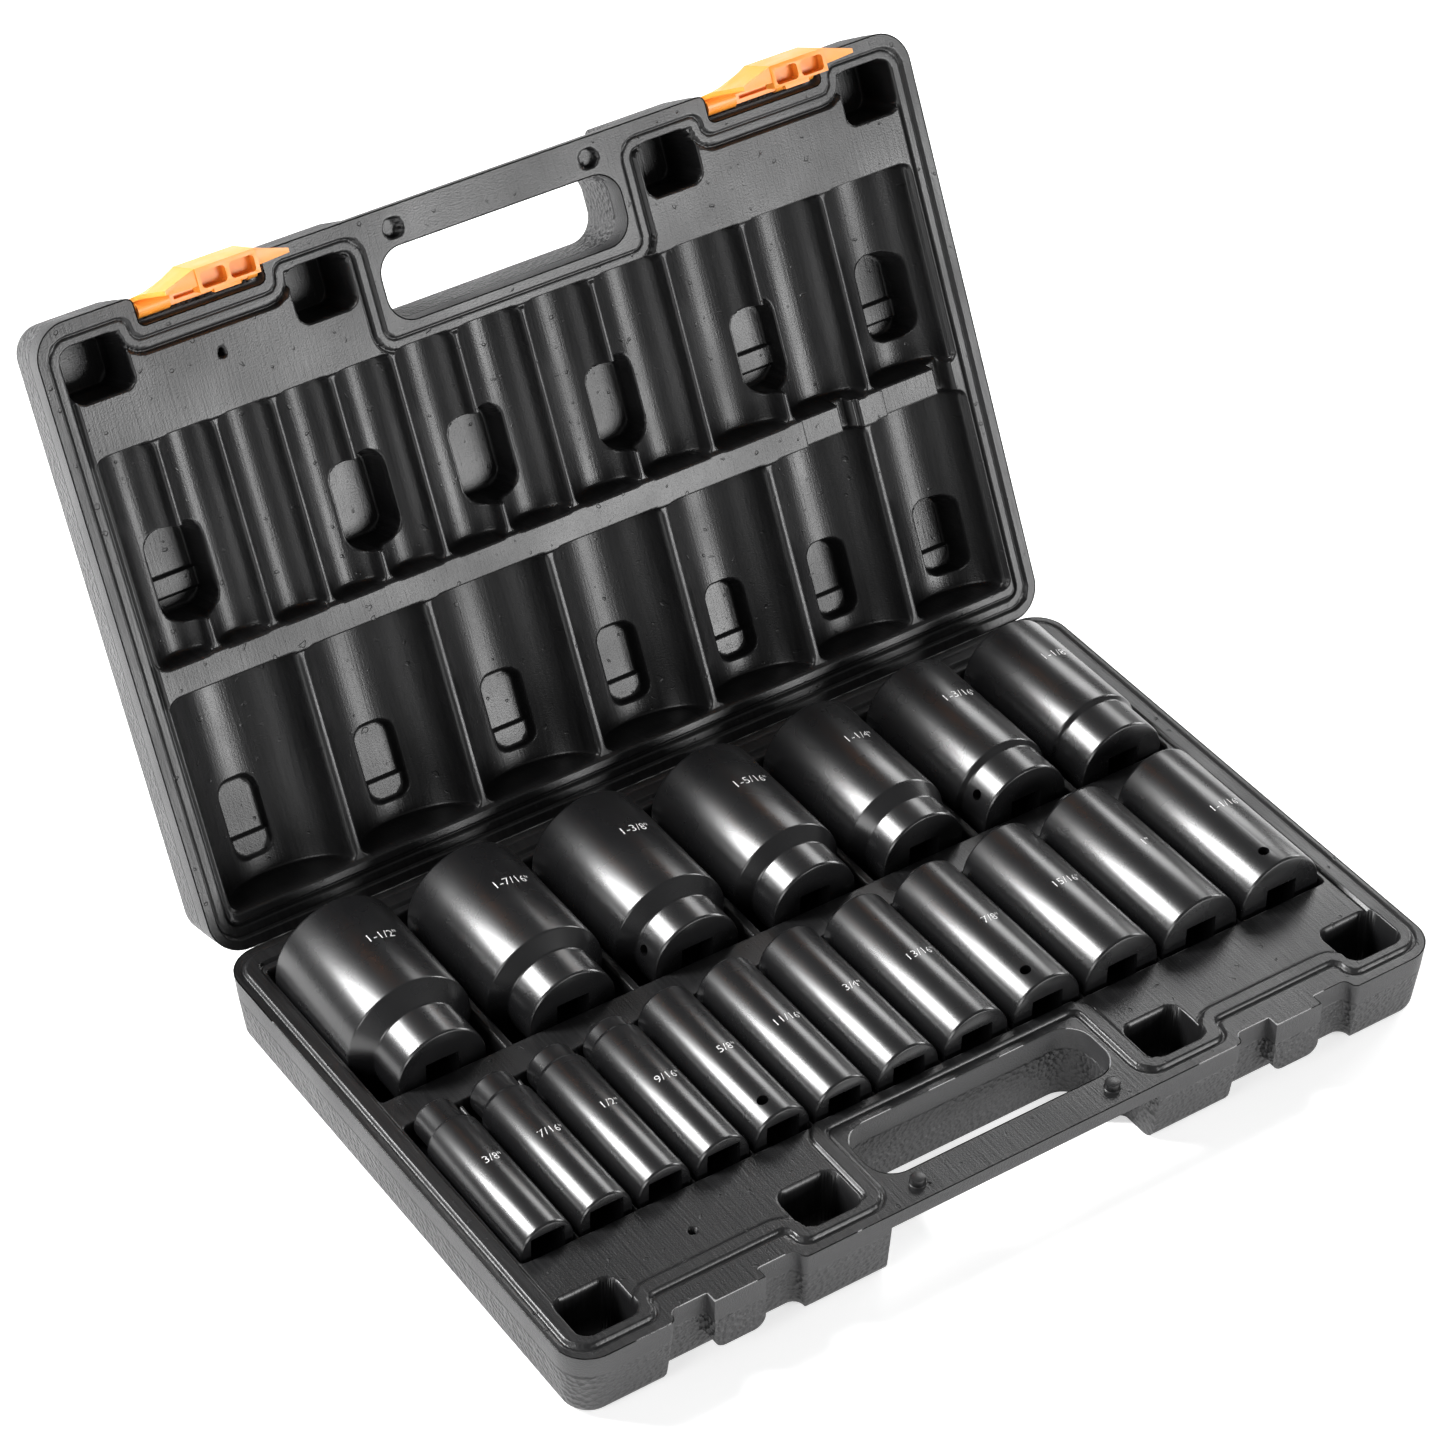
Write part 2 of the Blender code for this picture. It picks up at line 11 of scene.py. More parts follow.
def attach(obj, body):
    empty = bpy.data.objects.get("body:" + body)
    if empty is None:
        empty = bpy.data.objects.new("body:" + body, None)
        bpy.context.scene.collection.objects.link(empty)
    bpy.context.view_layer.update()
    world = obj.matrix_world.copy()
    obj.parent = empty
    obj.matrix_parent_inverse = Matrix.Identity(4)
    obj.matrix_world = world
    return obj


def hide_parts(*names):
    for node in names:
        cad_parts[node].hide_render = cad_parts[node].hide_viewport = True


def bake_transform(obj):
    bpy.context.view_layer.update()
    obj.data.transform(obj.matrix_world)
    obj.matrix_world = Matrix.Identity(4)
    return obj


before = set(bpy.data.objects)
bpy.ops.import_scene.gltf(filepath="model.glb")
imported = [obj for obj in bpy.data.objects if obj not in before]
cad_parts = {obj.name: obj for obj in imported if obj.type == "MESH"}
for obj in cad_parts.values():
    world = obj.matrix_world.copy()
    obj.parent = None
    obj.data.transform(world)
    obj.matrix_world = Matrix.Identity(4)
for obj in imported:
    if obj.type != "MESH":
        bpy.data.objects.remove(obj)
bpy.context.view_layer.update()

MM = 0.001

# Case, in millimetres, with the base's rim plane at RIM_Z
WIDTH = 386.0
DEPTH = 248.0
RIM_Z = 32.0
RIM_GAP = 0.3
CORNER_R = 14.0
EDGE_R = 6.0
UPPER_BAND = 10.0
DRAFT_UPPER = 0.8
DRAFT_TOTAL = 2.6
SKIN_BEVEL = 0.7
DECK_INSET = 0.5

BAY_X = 124.7
BAY_WIDTH = 52.4
BAY_DEPTH = 5.2
BAY_OUTER_R = 3.0
BAY_INNER_R = 2.6
PIVOT_BAY_DEPTH = 11.5
PIVOT_BAY_TOP = 12.2
CATCH_WIDTH = 21.5
CATCH_HEIGHT = 24.0
CATCH_R = 5.0
CATCH_INSET = 0.3

HANDLE_HALF = 53.2
HANDLE_FRONT = -108.6
HANDLE_BACK = -80.2
HANDLE_R = 10.5
BAR_THICKNESS = 7.0
BAR_UNDERCUT_HALF = 60.0
PIN_X = 43.5
PIN_Y = -115.7
PIN_R = 3.0
PIN_HEIGHT = 3.0
PIN_HOLE_R = 3.75

POCKET_X = (-170.9, -77.3, 77.3, 170.9)
POCKET_Y = -103.0
POCKET_SIZE = (24.5, 21.0)
POCKET_R = 5.0
POCKET_DEPTH = 25.0
BLOW_HOLE = (-123.0, -91.0)
BLOW_HOLE_R = 1.5
BLOW_HOLE_DEPTH = 8.0

SEAL_WIDTH = 5.5
SEAL_HEIGHT = 1.2
SEAL_SIDE = 188.5
SEAL_FRONT = 117.9
SEAL_BACK = 119.3
SEAL_BAY_HALF = 30.0
SEAL_BAY_FRONT = 108.2
SEAL_HANDLE_HALF = 57.3
SEAL_HANDLE_BACK = 75.5
SEAL_HANDLE_R = 8.0
SEAL_BAY_R = 4.5
SEAL_CORNER_R = 9.0

TRAY_LEFT = -181.2
TRAY_RIGHT = 179.8
FRONT_TRAY = (-71.05, 9.8)
BACK_TRAY = (25.4, 109.5)
BACK_TRAY_LID = (24.0, 109.5)
CRADLE_GAP = 0.6
LID_CRADLE_GAP = 0.8
RIDGE_DROP = 2.0
LEDGE = 1.3
GROOVE_CORNER_R = 3.6
LID_FRONT_END = 11.4
RIDGE_SHIFT = 0.6
# Length over which the lid's front grooves rise towards the divider
END_LENGTH = 2.4

# Finger recesses of the lid's front row: x of both sides, and whether a bar crosses the floor
FINGER_RECESSES = (
    (-169.8, -146.0, True), (-91.0, -67.0, False), (-38.0, -13.5, False),
    (24.6, 46.5, False), (93.4, 114.8, True), (156.0, 175.0, True),
)
FINGER_Y = (-37.0, -1.0)
FINGER_R = 8.0
FINGER_FLOOR = -28.5
FINGER_BAR_Y = (-15.5, -7.4)
# Recesses of the lid's back row, as shifts from the groove's middle
BACK_RECESS_SHIFT = (-2.2, 1.2, 3.2, 2.6, 2.0, 2.0, 7.5)
BACK_RECESS_HALF = 8.4
BACK_RECESS_Y = (67.5, 100.2)
BACK_RECESS_R = 6.0
BACK_RECESS_FLOOR = -30.2
BACK_SHELF_Y = 90.8
# Width of every recess's wall in plan, and how far it lies inside the outline
RECESS_WALL = 1.7
RECESS_SHIFT = 0.5
# Lowered right end of the lid's divider, with two slots and a raised pad
STEP_X = (106.0, 176.0)
STEP_DEPTH = 2.6
SLOT_X = ((124.5, 130.5), (171.0, 177.5))
SLOT_DEPTH = 9.0
PAD_X = (132.0, 144.6)

SOCKET_LENGTH = 78.0
DRIVE_SQUARE = 12.9
DRIVE_DEPTH = 16.5
HEX_DEPTH = 38.0
HEX_CLEARANCE = 0.3
DETENT_R = 2.2
DETENT_PLACE = 9.0
INCH = 25.4
FRONT_ROW_Y = -69.3
BACK_ROW_Y = 26.4
FRONT_ROW_SPACE = 2.125
BACK_ROW_SPACE = 4.6
BACK_ROW_MARGIN = 0.6
# Etched marks: distance from the drive face, turn from the top in degrees, height
FRONT_MARK = (37.5, 10.0, 5.2)
BACK_MARK = (50.0, 14.0, 5.8)
# Name, size in inches, diameter, etched mark, turn of the detent hole from the top in degrees
FRONT_ROW = (
    ("3_8", 3 / 8, 22.0, '3/8"', 200.0),
    ("7_16", 7 / 16, 22.5, '7/16"', 215.0),
    ("1_2", 1 / 2, 22.5, '1/2"', 62.0),
    ("9_16", 9 / 16, 23.0, '9/16"', 190.0),
    ("5_8", 5 / 8, 24.0, '5/8"', -14.0),
    ("11_16", 11 / 16, 25.5, '11/16"', 205.0),
    ("3_4", 3 / 4, 27.5, '3/4"', 170.0),
    ("13_16", 13 / 16, 29.5, '13/16"', 185.0),
    ("7_8", 7 / 8, 31.0, '7/8"', -15.0),
    ("15_16", 15 / 16, 34.5, '15/16"', 160.0),
    ("1", 1.0, 36.0, '1"', 195.0),
    ("1_1_16", 17 / 16, 37.5, '1-1/16"', -8.0),
)
BACK_ROW = (
    ("1_1_2", 3 / 2, 52.5, '1-1/2"', 180.0),
    ("1_7_16", 23 / 16, 51.0, '1-7/16"', 210.0),
    ("1_3_8", 11 / 8, 50.0, '1-3/8"', -72.0),
    ("1_5_16", 21 / 16, 48.0, '1-5/16"', 165.0),
    ("1_1_4", 5 / 4, 45.0, '1-1/4"', 200.0),
    ("1_3_16", 19 / 16, 43.5, '1-3/16"', -62.0),
    ("1_1_8", 9 / 8, 42.0, '1-1/8"', 175.0),
)
# Drive ends of the back row: neck's diameter, its length, and the cone's length
DRIVE_NECKS = {
    "1_1_2": (38.0, 16.8, 6.7),
    "1_7_16": (38.0, 14.9, 4.9),
    "1_3_8": (38.0, 13.4, 5.5),
    "1_5_16": (38.0, 14.2, 5.1),
    "1_1_4": (38.0, 12.3, 6.5),
    "1_3_16": (39.5, 15.0, 2.0),
    "1_1_8": (39.0, 17.8, 1.5),
}
# Slimmer fastener ends of four sockets: diameter, length, and the cone's length
HEX_NOSES = {
    "3_8": (17.2, 12.0, 2.5),
    "7_16": (18.6, 10.0, 2.5),
    "1_2": (19.6, 8.0, 2.0),
    "9_16": (20.8, 6.0, 1.5),
}

HINGE_Y = 124.2
HINGE_Z = 31.3
LID_OPEN = math.radians(116.0)

LATCH_HALF = 25.3
LATCH_PIVOT = (-118.2, 37.3)
GRIP_HALF = 12.4
GRIP_FRONT_Y = -131.6


# ---------------------------------------------------------------- materials


def new_material(name, colour, roughness, **extra):
    """A Principled material and its node tree, with plain values set on its sockets."""
    material = bpy.data.materials.new(name)
    material.use_nodes = True
    shader = material.node_tree.nodes["Principled BSDF"]
    shader.inputs["Base Color"].default_value = (*colour, 1.0)
    shader.inputs["Roughness"].default_value = roughness
    for key, value in extra.items():
        shader.inputs[key.replace("_", " ")].default_value = value
    return material, material.node_tree, shader


def add_noise(tree, source, scale, stretch=(1.0, 1.0, 1.0), detail=3.0):
    """Noise read at object coordinates or a UV map, stretched along its axes."""
    mapping = tree.nodes.new("ShaderNodeMapping")
    mapping.inputs["Scale"].default_value = stretch
    noise = tree.nodes.new("ShaderNodeTexNoise")
    noise.inputs["Scale"].default_value = scale
    noise.inputs["Detail"].default_value = detail
    tree.links.new(source, mapping.inputs["Vector"])
    tree.links.new(mapping.outputs["Vector"], noise.inputs["Vector"])
    return noise.outputs["Fac"]


def add_range(tree, value, low, high, to_low, to_high):
    """Maps a value from one range to another, clamped."""
    node = tree.nodes.new("ShaderNodeMapRange")
    for name, number in (("From Min", low), ("From Max", high), ("To Min", to_low), ("To Max", to_high)):
        node.inputs[name].default_value = number
    tree.links.new(value, node.inputs["Value"])
    return node.outputs["Result"]


def add_mix(tree, factor, first, second):
    node = tree.nodes.new("ShaderNodeMix")
    node.data_type = "RGBA"
    node.inputs["A"].default_value = (*first, 1.0)
    node.inputs["B"].default_value = (*second, 1.0)
    tree.links.new(factor, node.inputs["Factor"])
    return node.outputs["Result"]


def add_sum(tree, first, second, operation="ADD"):
    node = tree.nodes.new("ShaderNodeMath")
    node.operation = operation
    tree.links.new(first, node.inputs[0])
    tree.links.new(second, node.inputs[1])
    return node.outputs["Value"]


def add_bump(tree, shader, height, strength, distance):
    node = tree.nodes.new("ShaderNodeBump")
    node.inputs["Strength"].default_value = strength
    node.inputs["Distance"].default_value = distance
    tree.links.new(height, node.inputs["Height"])
    tree.links.new(node.outputs["Normal"], shader.inputs["Normal"])


def coordinates(tree, output):
    return tree.nodes.new("ShaderNodeTexCoord").outputs[output]


def deck_material():
    """Satin black moulding: faint draw lines across the case, small pits, uneven gloss."""
    material, tree, shader = new_material("case_deck", (0.01, 0.01, 0.0105), 0.36)
    uv = coordinates(tree, "UV")
    lines = add_noise(tree, uv, 900.0, (1.0, 0.05, 1.0), 2.0)
    grain = add_noise(tree, uv, 1500.0, (1.0, 1.0, 1.0), 2.0)
    cloud = add_noise(tree, uv, 18.0, (1.0, 1.0, 1.0), 4.0)
    pits = add_range(tree, add_noise(tree, uv, 260.0, (1.0, 1.0, 1.0), 1.0), 0.24, 0.3, -1.6, 0.0)
    height = add_sum(tree, add_sum(tree, lines, grain), pits)
    add_bump(tree, shader, height, 0.5, 0.00016)
    tree.links.new(add_range(tree, cloud, 0.3, 0.7, 0.29, 0.42), shader.inputs["Roughness"])
    streak = add_range(tree, lines, 0.3, 0.75, 0.0, 1.0)
    colour = add_mix(tree, streak, (0.006, 0.006, 0.0065), (0.015, 0.015, 0.0155))
    tree.links.new(colour, shader.inputs["Base Color"])
    return material


def skin_material():
    """Outside of the case: pebbled, with a smooth band below the rim."""
    material, tree, shader = new_material("case_skin", (0.03, 0.03, 0.031), 0.5)
    place = coordinates(tree, "UV")
    cells = tree.nodes.new("ShaderNodeTexVoronoi")
    cells.inputs["Scale"].default_value = 480.0
    tree.links.new(coordinates(tree, "Object"), cells.inputs["Vector"])
    depth = tree.nodes.new("ShaderNodeSeparateXYZ")
    tree.links.new(place, depth.inputs["Vector"])
    mask = add_range(tree, depth.outputs["X"], 0.0095, 0.0105, 0.0, 1.0)
    pebble = add_sum(tree, cells.outputs["Distance"], mask, "MULTIPLY")
    fine = add_noise(tree, coordinates(tree, "Object"), 1400.0)
    fine_small = add_range(tree, fine, 0.0, 1.0, 0.0, 0.25)
    add_bump(tree, shader, add_sum(tree, pebble, fine_small), 1.0, 0.0011)
    cloud = add_noise(tree, coordinates(tree, "Object"), 30.0)
    colour = add_mix(tree, cloud, (0.022, 0.022, 0.023), (0.036, 0.036, 0.037))
    tree.links.new(colour, shader.inputs["Base Color"])
    tree.links.new(add_range(tree, cloud, 0.3, 0.7, 0.42, 0.55), shader.inputs["Roughness"])
    return material


def socket_material():
    """Black oxide steel: smooth, with a fine grain and faint turning rings."""
    material, tree, shader = new_material("socket_black", (0.012, 0.012, 0.013), 0.26)
    shader.inputs["Specular IOR Level"].default_value = 0.75
    place = coordinates(tree, "Object")
    grain = add_noise(tree, place, 2600.0, (1.0, 1.0, 1.0), 2.0)
    rings = add_noise(tree, place, 700.0, (0.02, 1.0, 0.02), 2.0)
    cloud = add_noise(tree, place, 60.0, (1.0, 1.0, 1.0), 3.0)
    add_bump(tree, shader, add_sum(tree, grain, rings), 0.06, 0.00002)
    tree.links.new(add_range(tree, cloud, 0.3, 0.7, 0.26, 0.29), shader.inputs["Roughness"])
    colour = add_mix(tree, cloud, (0.005, 0.005, 0.0055), (0.008, 0.008, 0.0085))
    tree.links.new(colour, shader.inputs["Base Color"])
    return material


def latch_material():
    """Orange moulding with a soft gloss and slightly uneven colour."""
    material, tree, shader = new_material("latch_orange", (1.0, 0.33, 0.03), 0.38)
    shader.inputs["Subsurface Weight"].default_value = 0.12
    shader.inputs["Subsurface Radius"].default_value = (0.004, 0.0015, 0.0005)
    place = coordinates(tree, "Object")
    cloud = add_noise(tree, place, 90.0, (1.0, 1.0, 1.0), 3.0)
    grain = add_noise(tree, place, 1800.0, (1.0, 1.0, 1.0), 2.0)
    add_bump(tree, shader, grain, 0.25, 0.0001)
    colour = add_mix(tree, cloud, (0.85, 0.27, 0.025), (0.88, 0.35, 0.05))
    tree.links.new(colour, shader.inputs["Base Color"])
    tree.links.new(add_range(tree, cloud, 0.3, 0.7, 0.32, 0.45), shader.inputs["Roughness"])
    return material


def etch_material():
    """Pale laser-etched size marks, a little worn."""
    material, tree, shader = new_material("size_mark", (0.7, 0.7, 0.7), 0.6)
    wear = add_noise(tree, coordinates(tree, "Object"), 1500.0, (1.0, 1.0, 1.0), 2.0)
    colour = add_mix(tree, add_range(tree, wear, 0.35, 0.6, 0.0, 1.0), (0.4, 0.4, 0.4), (0.85, 0.85, 0.85))
    tree.links.new(colour, shader.inputs["Base Color"])
    return material


def hinge_material():
    """Flexed plastic of the hinge, uneven along its length, with pale streaks of painted highlight in its
    colour.
    """
    material, tree, shader = new_material("hinge_plastic", (0.06, 0.06, 0.06), 0.3)
    streaks = add_noise(tree, coordinates(tree, "Object"), 160.0, (1.0, 4.0, 4.0), 4.0)
    # Painted highlight: pale grey streaks in the base colour stand in for light caught along the bent strip
    painted_highlight = add_range(tree, streaks, 0.4, 0.65, 0.0, 1.0)
    colour = add_mix(tree, painted_highlight, (0.03, 0.03, 0.03), (0.25, 0.25, 0.25))
    tree.links.new(colour, shader.inputs["Base Color"])
    add_bump(tree, shader, streaks, 0.5, 0.0003)
    return material


# ------------------------------------------------------------------ outlines


def arc(centre, radius, start, end, steps):
    points = []
    for i in range(steps + 1):
        angle = start + (end - start) * i / steps
        points.append((centre[0] + radius * math.cos(angle), centre[1] + radius * math.sin(angle)))
    return points


def circle(centre, radius, segments):
    return arc(centre, radius, 0.0, math.tau * (1 - 1 / segments), segments - 1)


def rounded_outline(corners, inset=0.0, small_steps=6, large_steps=12):
    """Anticlockwise outline with square corners (x, y, radius), moved inwards by inset."""
    outline = []
    count = len(corners)
    for i, (x, y, radius) in enumerate(corners):
        before = Vector((x - corners[i - 1][0], y - corners[i - 1][1])).normalized()
        after = Vector((corners[(i + 1) % count][0] - x, corners[(i + 1) % count][1] - y)).normalized()
        left_before = Vector((-before.y, before.x))
        left_after = Vector((-after.y, after.x))
        corner = Vector((x, y)) + (left_before + left_after) * inset
        steps = large_steps if radius > 8.0 else small_steps
        if before.cross(after) > 0.0:
            r = max(radius - inset, 0.5)
            centre = corner - before * r + left_before * r
            start = math.atan2(-left_before.y, -left_before.x)
            outline += arc(centre, r, start, start + math.pi / 2, steps)
        else:
            r = min(radius + inset, 4.5)
            centre = corner - before * r - left_before * r
            start = math.atan2(left_before.y, left_before.x)
            outline += arc(centre, r, start, start - math.pi / 2, steps)
    return outline


def mirrored(half):
    return half + [(-x, y, r) for x, y, r in reversed(half)]


def rectangle(x0, x1, y0, y1, radius):
    return [(x0, y0, radius), (x1, y0, radius), (x1, y1, radius), (x0, y1, radius)]


def case_corners(bay_depth, catch=False):
    """Outline of a case half; with catch, each bay keeps the catch block standing in it."""
    bay_in = BAY_X - BAY_WIDTH / 2
    bay_out = BAY_X + BAY_WIDTH / 2
    front = -DEPTH / 2
    bay = front + bay_depth
    block = []
    if catch:
        left = BAY_X - CATCH_WIDTH / 2
        right = BAY_X + CATCH_WIDTH / 2
        face = front + CATCH_INSET
        block = [(left, bay, 0.6), (left, face, 1.2), (right, face, 1.2), (right, bay, 0.6)]
    side = WIDTH / 2
    return mirrored(
        [(bay_in, front, BAY_OUTER_R), (bay_in, bay, BAY_INNER_R)]
        + block
        + [(bay_out, bay, BAY_INNER_R), (bay_out, front, BAY_OUTER_R)]
        + [(side, front, CORNER_R), (side, -front, CORNER_R)]
    )


def seal_corners():
    return mirrored([
        (SEAL_HANDLE_HALF, -SEAL_HANDLE_BACK, SEAL_HANDLE_R),
        (SEAL_HANDLE_HALF, -SEAL_FRONT, SEAL_HANDLE_R),
        (BAY_X - SEAL_BAY_HALF, -SEAL_FRONT, SEAL_BAY_R),
        (BAY_X - SEAL_BAY_HALF, -SEAL_BAY_FRONT, SEAL_BAY_R),
        (BAY_X + SEAL_BAY_HALF, -SEAL_BAY_FRONT, SEAL_BAY_R),
        (BAY_X + SEAL_BAY_HALF, -SEAL_FRONT, SEAL_BAY_R),
        (SEAL_SIDE, -SEAL_FRONT, SEAL_CORNER_R),
        (SEAL_SIDE, SEAL_BACK, SEAL_CORNER_R),
    ])


def handle_corners():
    return rectangle(-HANDLE_HALF, HANDLE_HALF, HANDLE_FRONT, HANDLE_BACK, HANDLE_R)


# ------------------------------------------------------------ height fields


def box_distance(x, y, x0, x1, y0, y1, r):
    """Signed distance to a rounded rectangle, negative inside."""
    qx = np.abs(x - (x0 + x1) / 2) - (x1 - x0) / 2 + r
    qy = np.abs(y - (y0 + y1) / 2) - (y1 - y0) / 2 + r
    outside = np.hypot(np.maximum(qx, 0.0), np.maximum(qy, 0.0))
    return outside + np.minimum(np.maximum(qx, qy), 0.0) - r


def outline_distance(x, y, outline):
    """Signed distance to a closed outline, negative inside."""
    best = np.full(x.shape, 1e12)
    inside = np.zeros(x.shape, bool)
    for (ax, ay), (bx, by) in zip(outline, outline[1:] + outline[:1]):
        ex, ey = bx - ax, by - ay
        wx, wy = x - ax, y - ay
        t = np.clip((wx * ex + wy * ey) / (ex * ex + ey * ey), 0.0, 1.0)
        best = np.minimum(best, (wx - ex * t) ** 2 + (wy - ey * t) ** 2)
        if ey != 0.0:
            crosses = ((ay > y) != (by > y)) & (x < ex * (y - ay) / ey + ax)
            inside ^= crosses
    distance = np.sqrt(best)
    return np.where(inside, -distance, distance)


def inside_of(distance, width):
    """1 inside, 0 outside, with a smooth change over the given width."""
    t = np.clip(0.5 - distance / width, 0.0, 1.0)
    return t * t * (3.0 - 2.0 * t)


def smooth_min(a, b, k):
    h = np.clip(0.5 + 0.5 * (b - a) / k, 0.0, 1.0)
    return b * (1.0 - h) + a * h - k * h * (1.0 - h)


def blended(height, value, share):
    return height * (1.0 - share) + value * share


def row_positions():
    places = {}
    x = TRAY_LEFT
    for name, _, diameter, _, _ in FRONT_ROW:
        places[name] = x + (diameter + FRONT_ROW_SPACE) / 2
        x += diameter + FRONT_ROW_SPACE
    x = TRAY_LEFT + BACK_ROW_MARGIN
    for name, _, diameter, _, _ in BACK_ROW:
        places[name] = x + diameter / 2
        x += diameter + BACK_ROW_SPACE
    return places


PLACES = row_positions()


def groove_floor(x, row, gap):
    """Height over the rim of a row of half-round grooves, as a function of X."""
    floor = np.zeros(x.shape)
    for name, _, diameter, _, _ in row:
        r = diameter / 2 + gap
        across = np.clip(r * r - (x - PLACES[name]) ** 2, 0.0, None)
        floor = np.minimum(floor, -np.sqrt(across))
    return floor


def ridge_lines(row, space, shift):
    """Middle of each ridge between neighbouring grooves."""
    return [PLACES[name] + (diameter + space) / 2 + shift for name, _, diameter, _, _ in row[:-1]]


def groove_share(x, y, row, space, y0, y1, shift, half, wall):
    """1 inside the rounded plan of any groove, 0 on the ridges and past the ends."""
    share = np.zeros(x.shape)
    ridges = ridge_lines(row, space, shift)
    lefts = [TRAY_LEFT] + [ridge + half for ridge in ridges]
    rights = [ridge - half for ridge in ridges] + [TRAY_RIGHT]
    for left, right in zip(lefts, rights):
        near = (x > left - 3.0) & (x < right + 3.0)
        distance = box_distance(x[near], y[near], left, right, y0, y1, GROOVE_CORNER_R)
        share[near] = np.maximum(share[near], inside_of(distance, wall))
    return share


def seal_distance(x, y):
    return outline_distance(x, y, rounded_outline(seal_corners(), 0.0, 4, 8))


def between(distance, first, last, width=0.5):
    """1 between two distances inside an edge, 0 elsewhere."""
    return inside_of(distance + first, width) * (1.0 - inside_of(distance + last, width))


def pocket_share(x, y):
    share = np.zeros(x.shape)
    for px in POCKET_X:
        half_x, half_y = POCKET_SIZE[0] / 2, POCKET_SIZE[1] / 2
        y0, y1 = POCKET_Y - half_y, POCKET_Y + half_y
        distance = box_distance(x, y, px - half_x, px + half_x, y0, y1, POCKET_R)
        share = np.maximum(share, inside_of(distance, 1.2))
    return share


def base_height(x, y):
    """Height of the base's inner face over its rim plane."""
    seal = seal_distance(x, y)
    h = SEAL_HEIGHT * between(seal, 0.0, SEAL_WIDTH)
    h -= 0.5 * between(seal, -1.6, -0.6)
    h -= 0.35 * between(seal, SEAL_WIDTH + 0.2, SEAL_WIDTH + 1.0)
    for row, space, (y0, y1) in (
        (FRONT_ROW, FRONT_ROW_SPACE, FRONT_TRAY),
        (BACK_ROW, BACK_ROW_SPACE, BACK_TRAY),
    ):
        share = inside_of(box_distance(x, y, TRAY_LEFT, TRAY_RIGHT, y0, y1, 1.5), 1.0)
        floor = smooth_min(groove_floor(x, row, CRADLE_GAP), np.full(x.shape, -RIDGE_DROP), 0.4)
        h = blended(h, floor, share)
    h = blended(h, -POCKET_DEPTH, pocket_share(x, y))
    hole = np.hypot(x - BLOW_HOLE[0], y - BLOW_HOLE[1]) - BLOW_HOLE_R
    return blended(h, -BLOW_HOLE_DEPTH, inside_of(hole, 0.5))


def add_finger_recesses(x, y, h):
    for left, right, bar in FINGER_RECESSES:
        distance = box_distance(x, y, left, right, *FINGER_Y, FINGER_R)
        floor = np.full(x.shape, FINGER_FLOOR)
        if bar:
            across = np.maximum(FINGER_BAR_Y[0] - y, y - FINGER_BAR_Y[1])
            floor += 1.6 * inside_of(across, 0.6)
        h = np.minimum(h, blended(h, floor, inside_of(distance + RECESS_SHIFT, RECESS_WALL)))
    return h


def add_back_recesses(x, y, h):
    for (name, _, _, _, _), shift in zip(BACK_ROW, BACK_RECESS_SHIFT):
        middle = PLACES[name] + shift
        left, right = middle - BACK_RECESS_HALF, middle + BACK_RECESS_HALF
        distance = box_distance(x, y, left, right, *BACK_RECESS_Y, BACK_RECESS_R)
        floor = BACK_RECESS_FLOOR + 2.0 * inside_of(BACK_SHELF_Y - y, 0.7)
        h = np.minimum(h, blended(h, floor, inside_of(distance + RECESS_SHIFT, RECESS_WALL)))
    return h


def lid_height(x, y):
    """Height of the lid's inner face over its rim plane, towards the base."""
    seal = seal_distance(x, y)
    h = -SEAL_HEIGHT * between(seal, -0.3, SEAL_WIDTH + 0.3)
    h -= 1.3 * between(seal, SEAL_WIDTH - 1.1, SEAL_WIDTH + 0.3, 0.4)
    h -= 0.6 * between(seal, -0.2, 0.5, 0.4)

    divider = (y > FRONT_TRAY[1]) & (y < BACK_TRAY_LID[0] + 2.0)
    step = np.maximum(STEP_X[0] - x, x - STEP_X[1])
    pad = box_distance(x, y, *PAD_X, 8.0, 26.0, 3.0)
    lowered = inside_of(step, 0.8) * (1.0 - inside_of(pad, 0.8)) * divider
    for slot in SLOT_X:
        slot_share = inside_of(np.maximum(slot[0] - x, x - slot[1]), 0.9) * divider
        h = blended(h, -SLOT_DEPTH, slot_share)
    h = np.minimum(h, blended(h, -STEP_DEPTH, lowered))

    for row, space, shift, (y0, y1), ends in (
        (FRONT_ROW, FRONT_ROW_SPACE, 0.0, (FRONT_TRAY[0], LID_FRONT_END), (0.2, 0.0)),
        (BACK_ROW, BACK_ROW_SPACE, RIDGE_SHIFT, BACK_TRAY_LID, (0.0, LEDGE)),
    ):
        outer = box_distance(x, y, TRAY_LEFT - LEDGE, TRAY_RIGHT + LEDGE, y0, y1, 3.5)
        h = np.minimum(h, blended(h, -RIDGE_DROP, inside_of(outer, 0.7)))
        share = groove_share(x, y, row, space, y0 + ends[0], y1 - ends[1], shift, 1.35, 1.9)
        floor = np.minimum(groove_floor(x, row, LID_CRADLE_GAP), -RIDGE_DROP - 0.6)
        if row is FRONT_ROW:
            rise = np.clip((y - (y1 - END_LENGTH)) / END_LENGTH, 0.0, 1.0) ** 2
            floor = np.minimum(floor * (1.0 - 0.45 * rise), -RIDGE_DROP - 0.6)
        h = np.minimum(h, blended(h, floor, share))
    h = add_finger_recesses(x, y, h)
    h = add_back_recesses(x, y, h)

    h = blended(h, -POCKET_DEPTH, pocket_share(x, y))
    for px in (-PIN_X, PIN_X):
        hole = np.hypot(x - px, y - PIN_Y) - PIN_HOLE_R
        h = blended(h, -PIN_HEIGHT - 0.5, inside_of(hole, 0.5))
    hole = np.hypot(x - BLOW_HOLE[0], y - BLOW_HOLE[1] + 2.0) - BLOW_HOLE_R
    return blended(h, -BLOW_HOLE_DEPTH, inside_of(hole, 0.5))


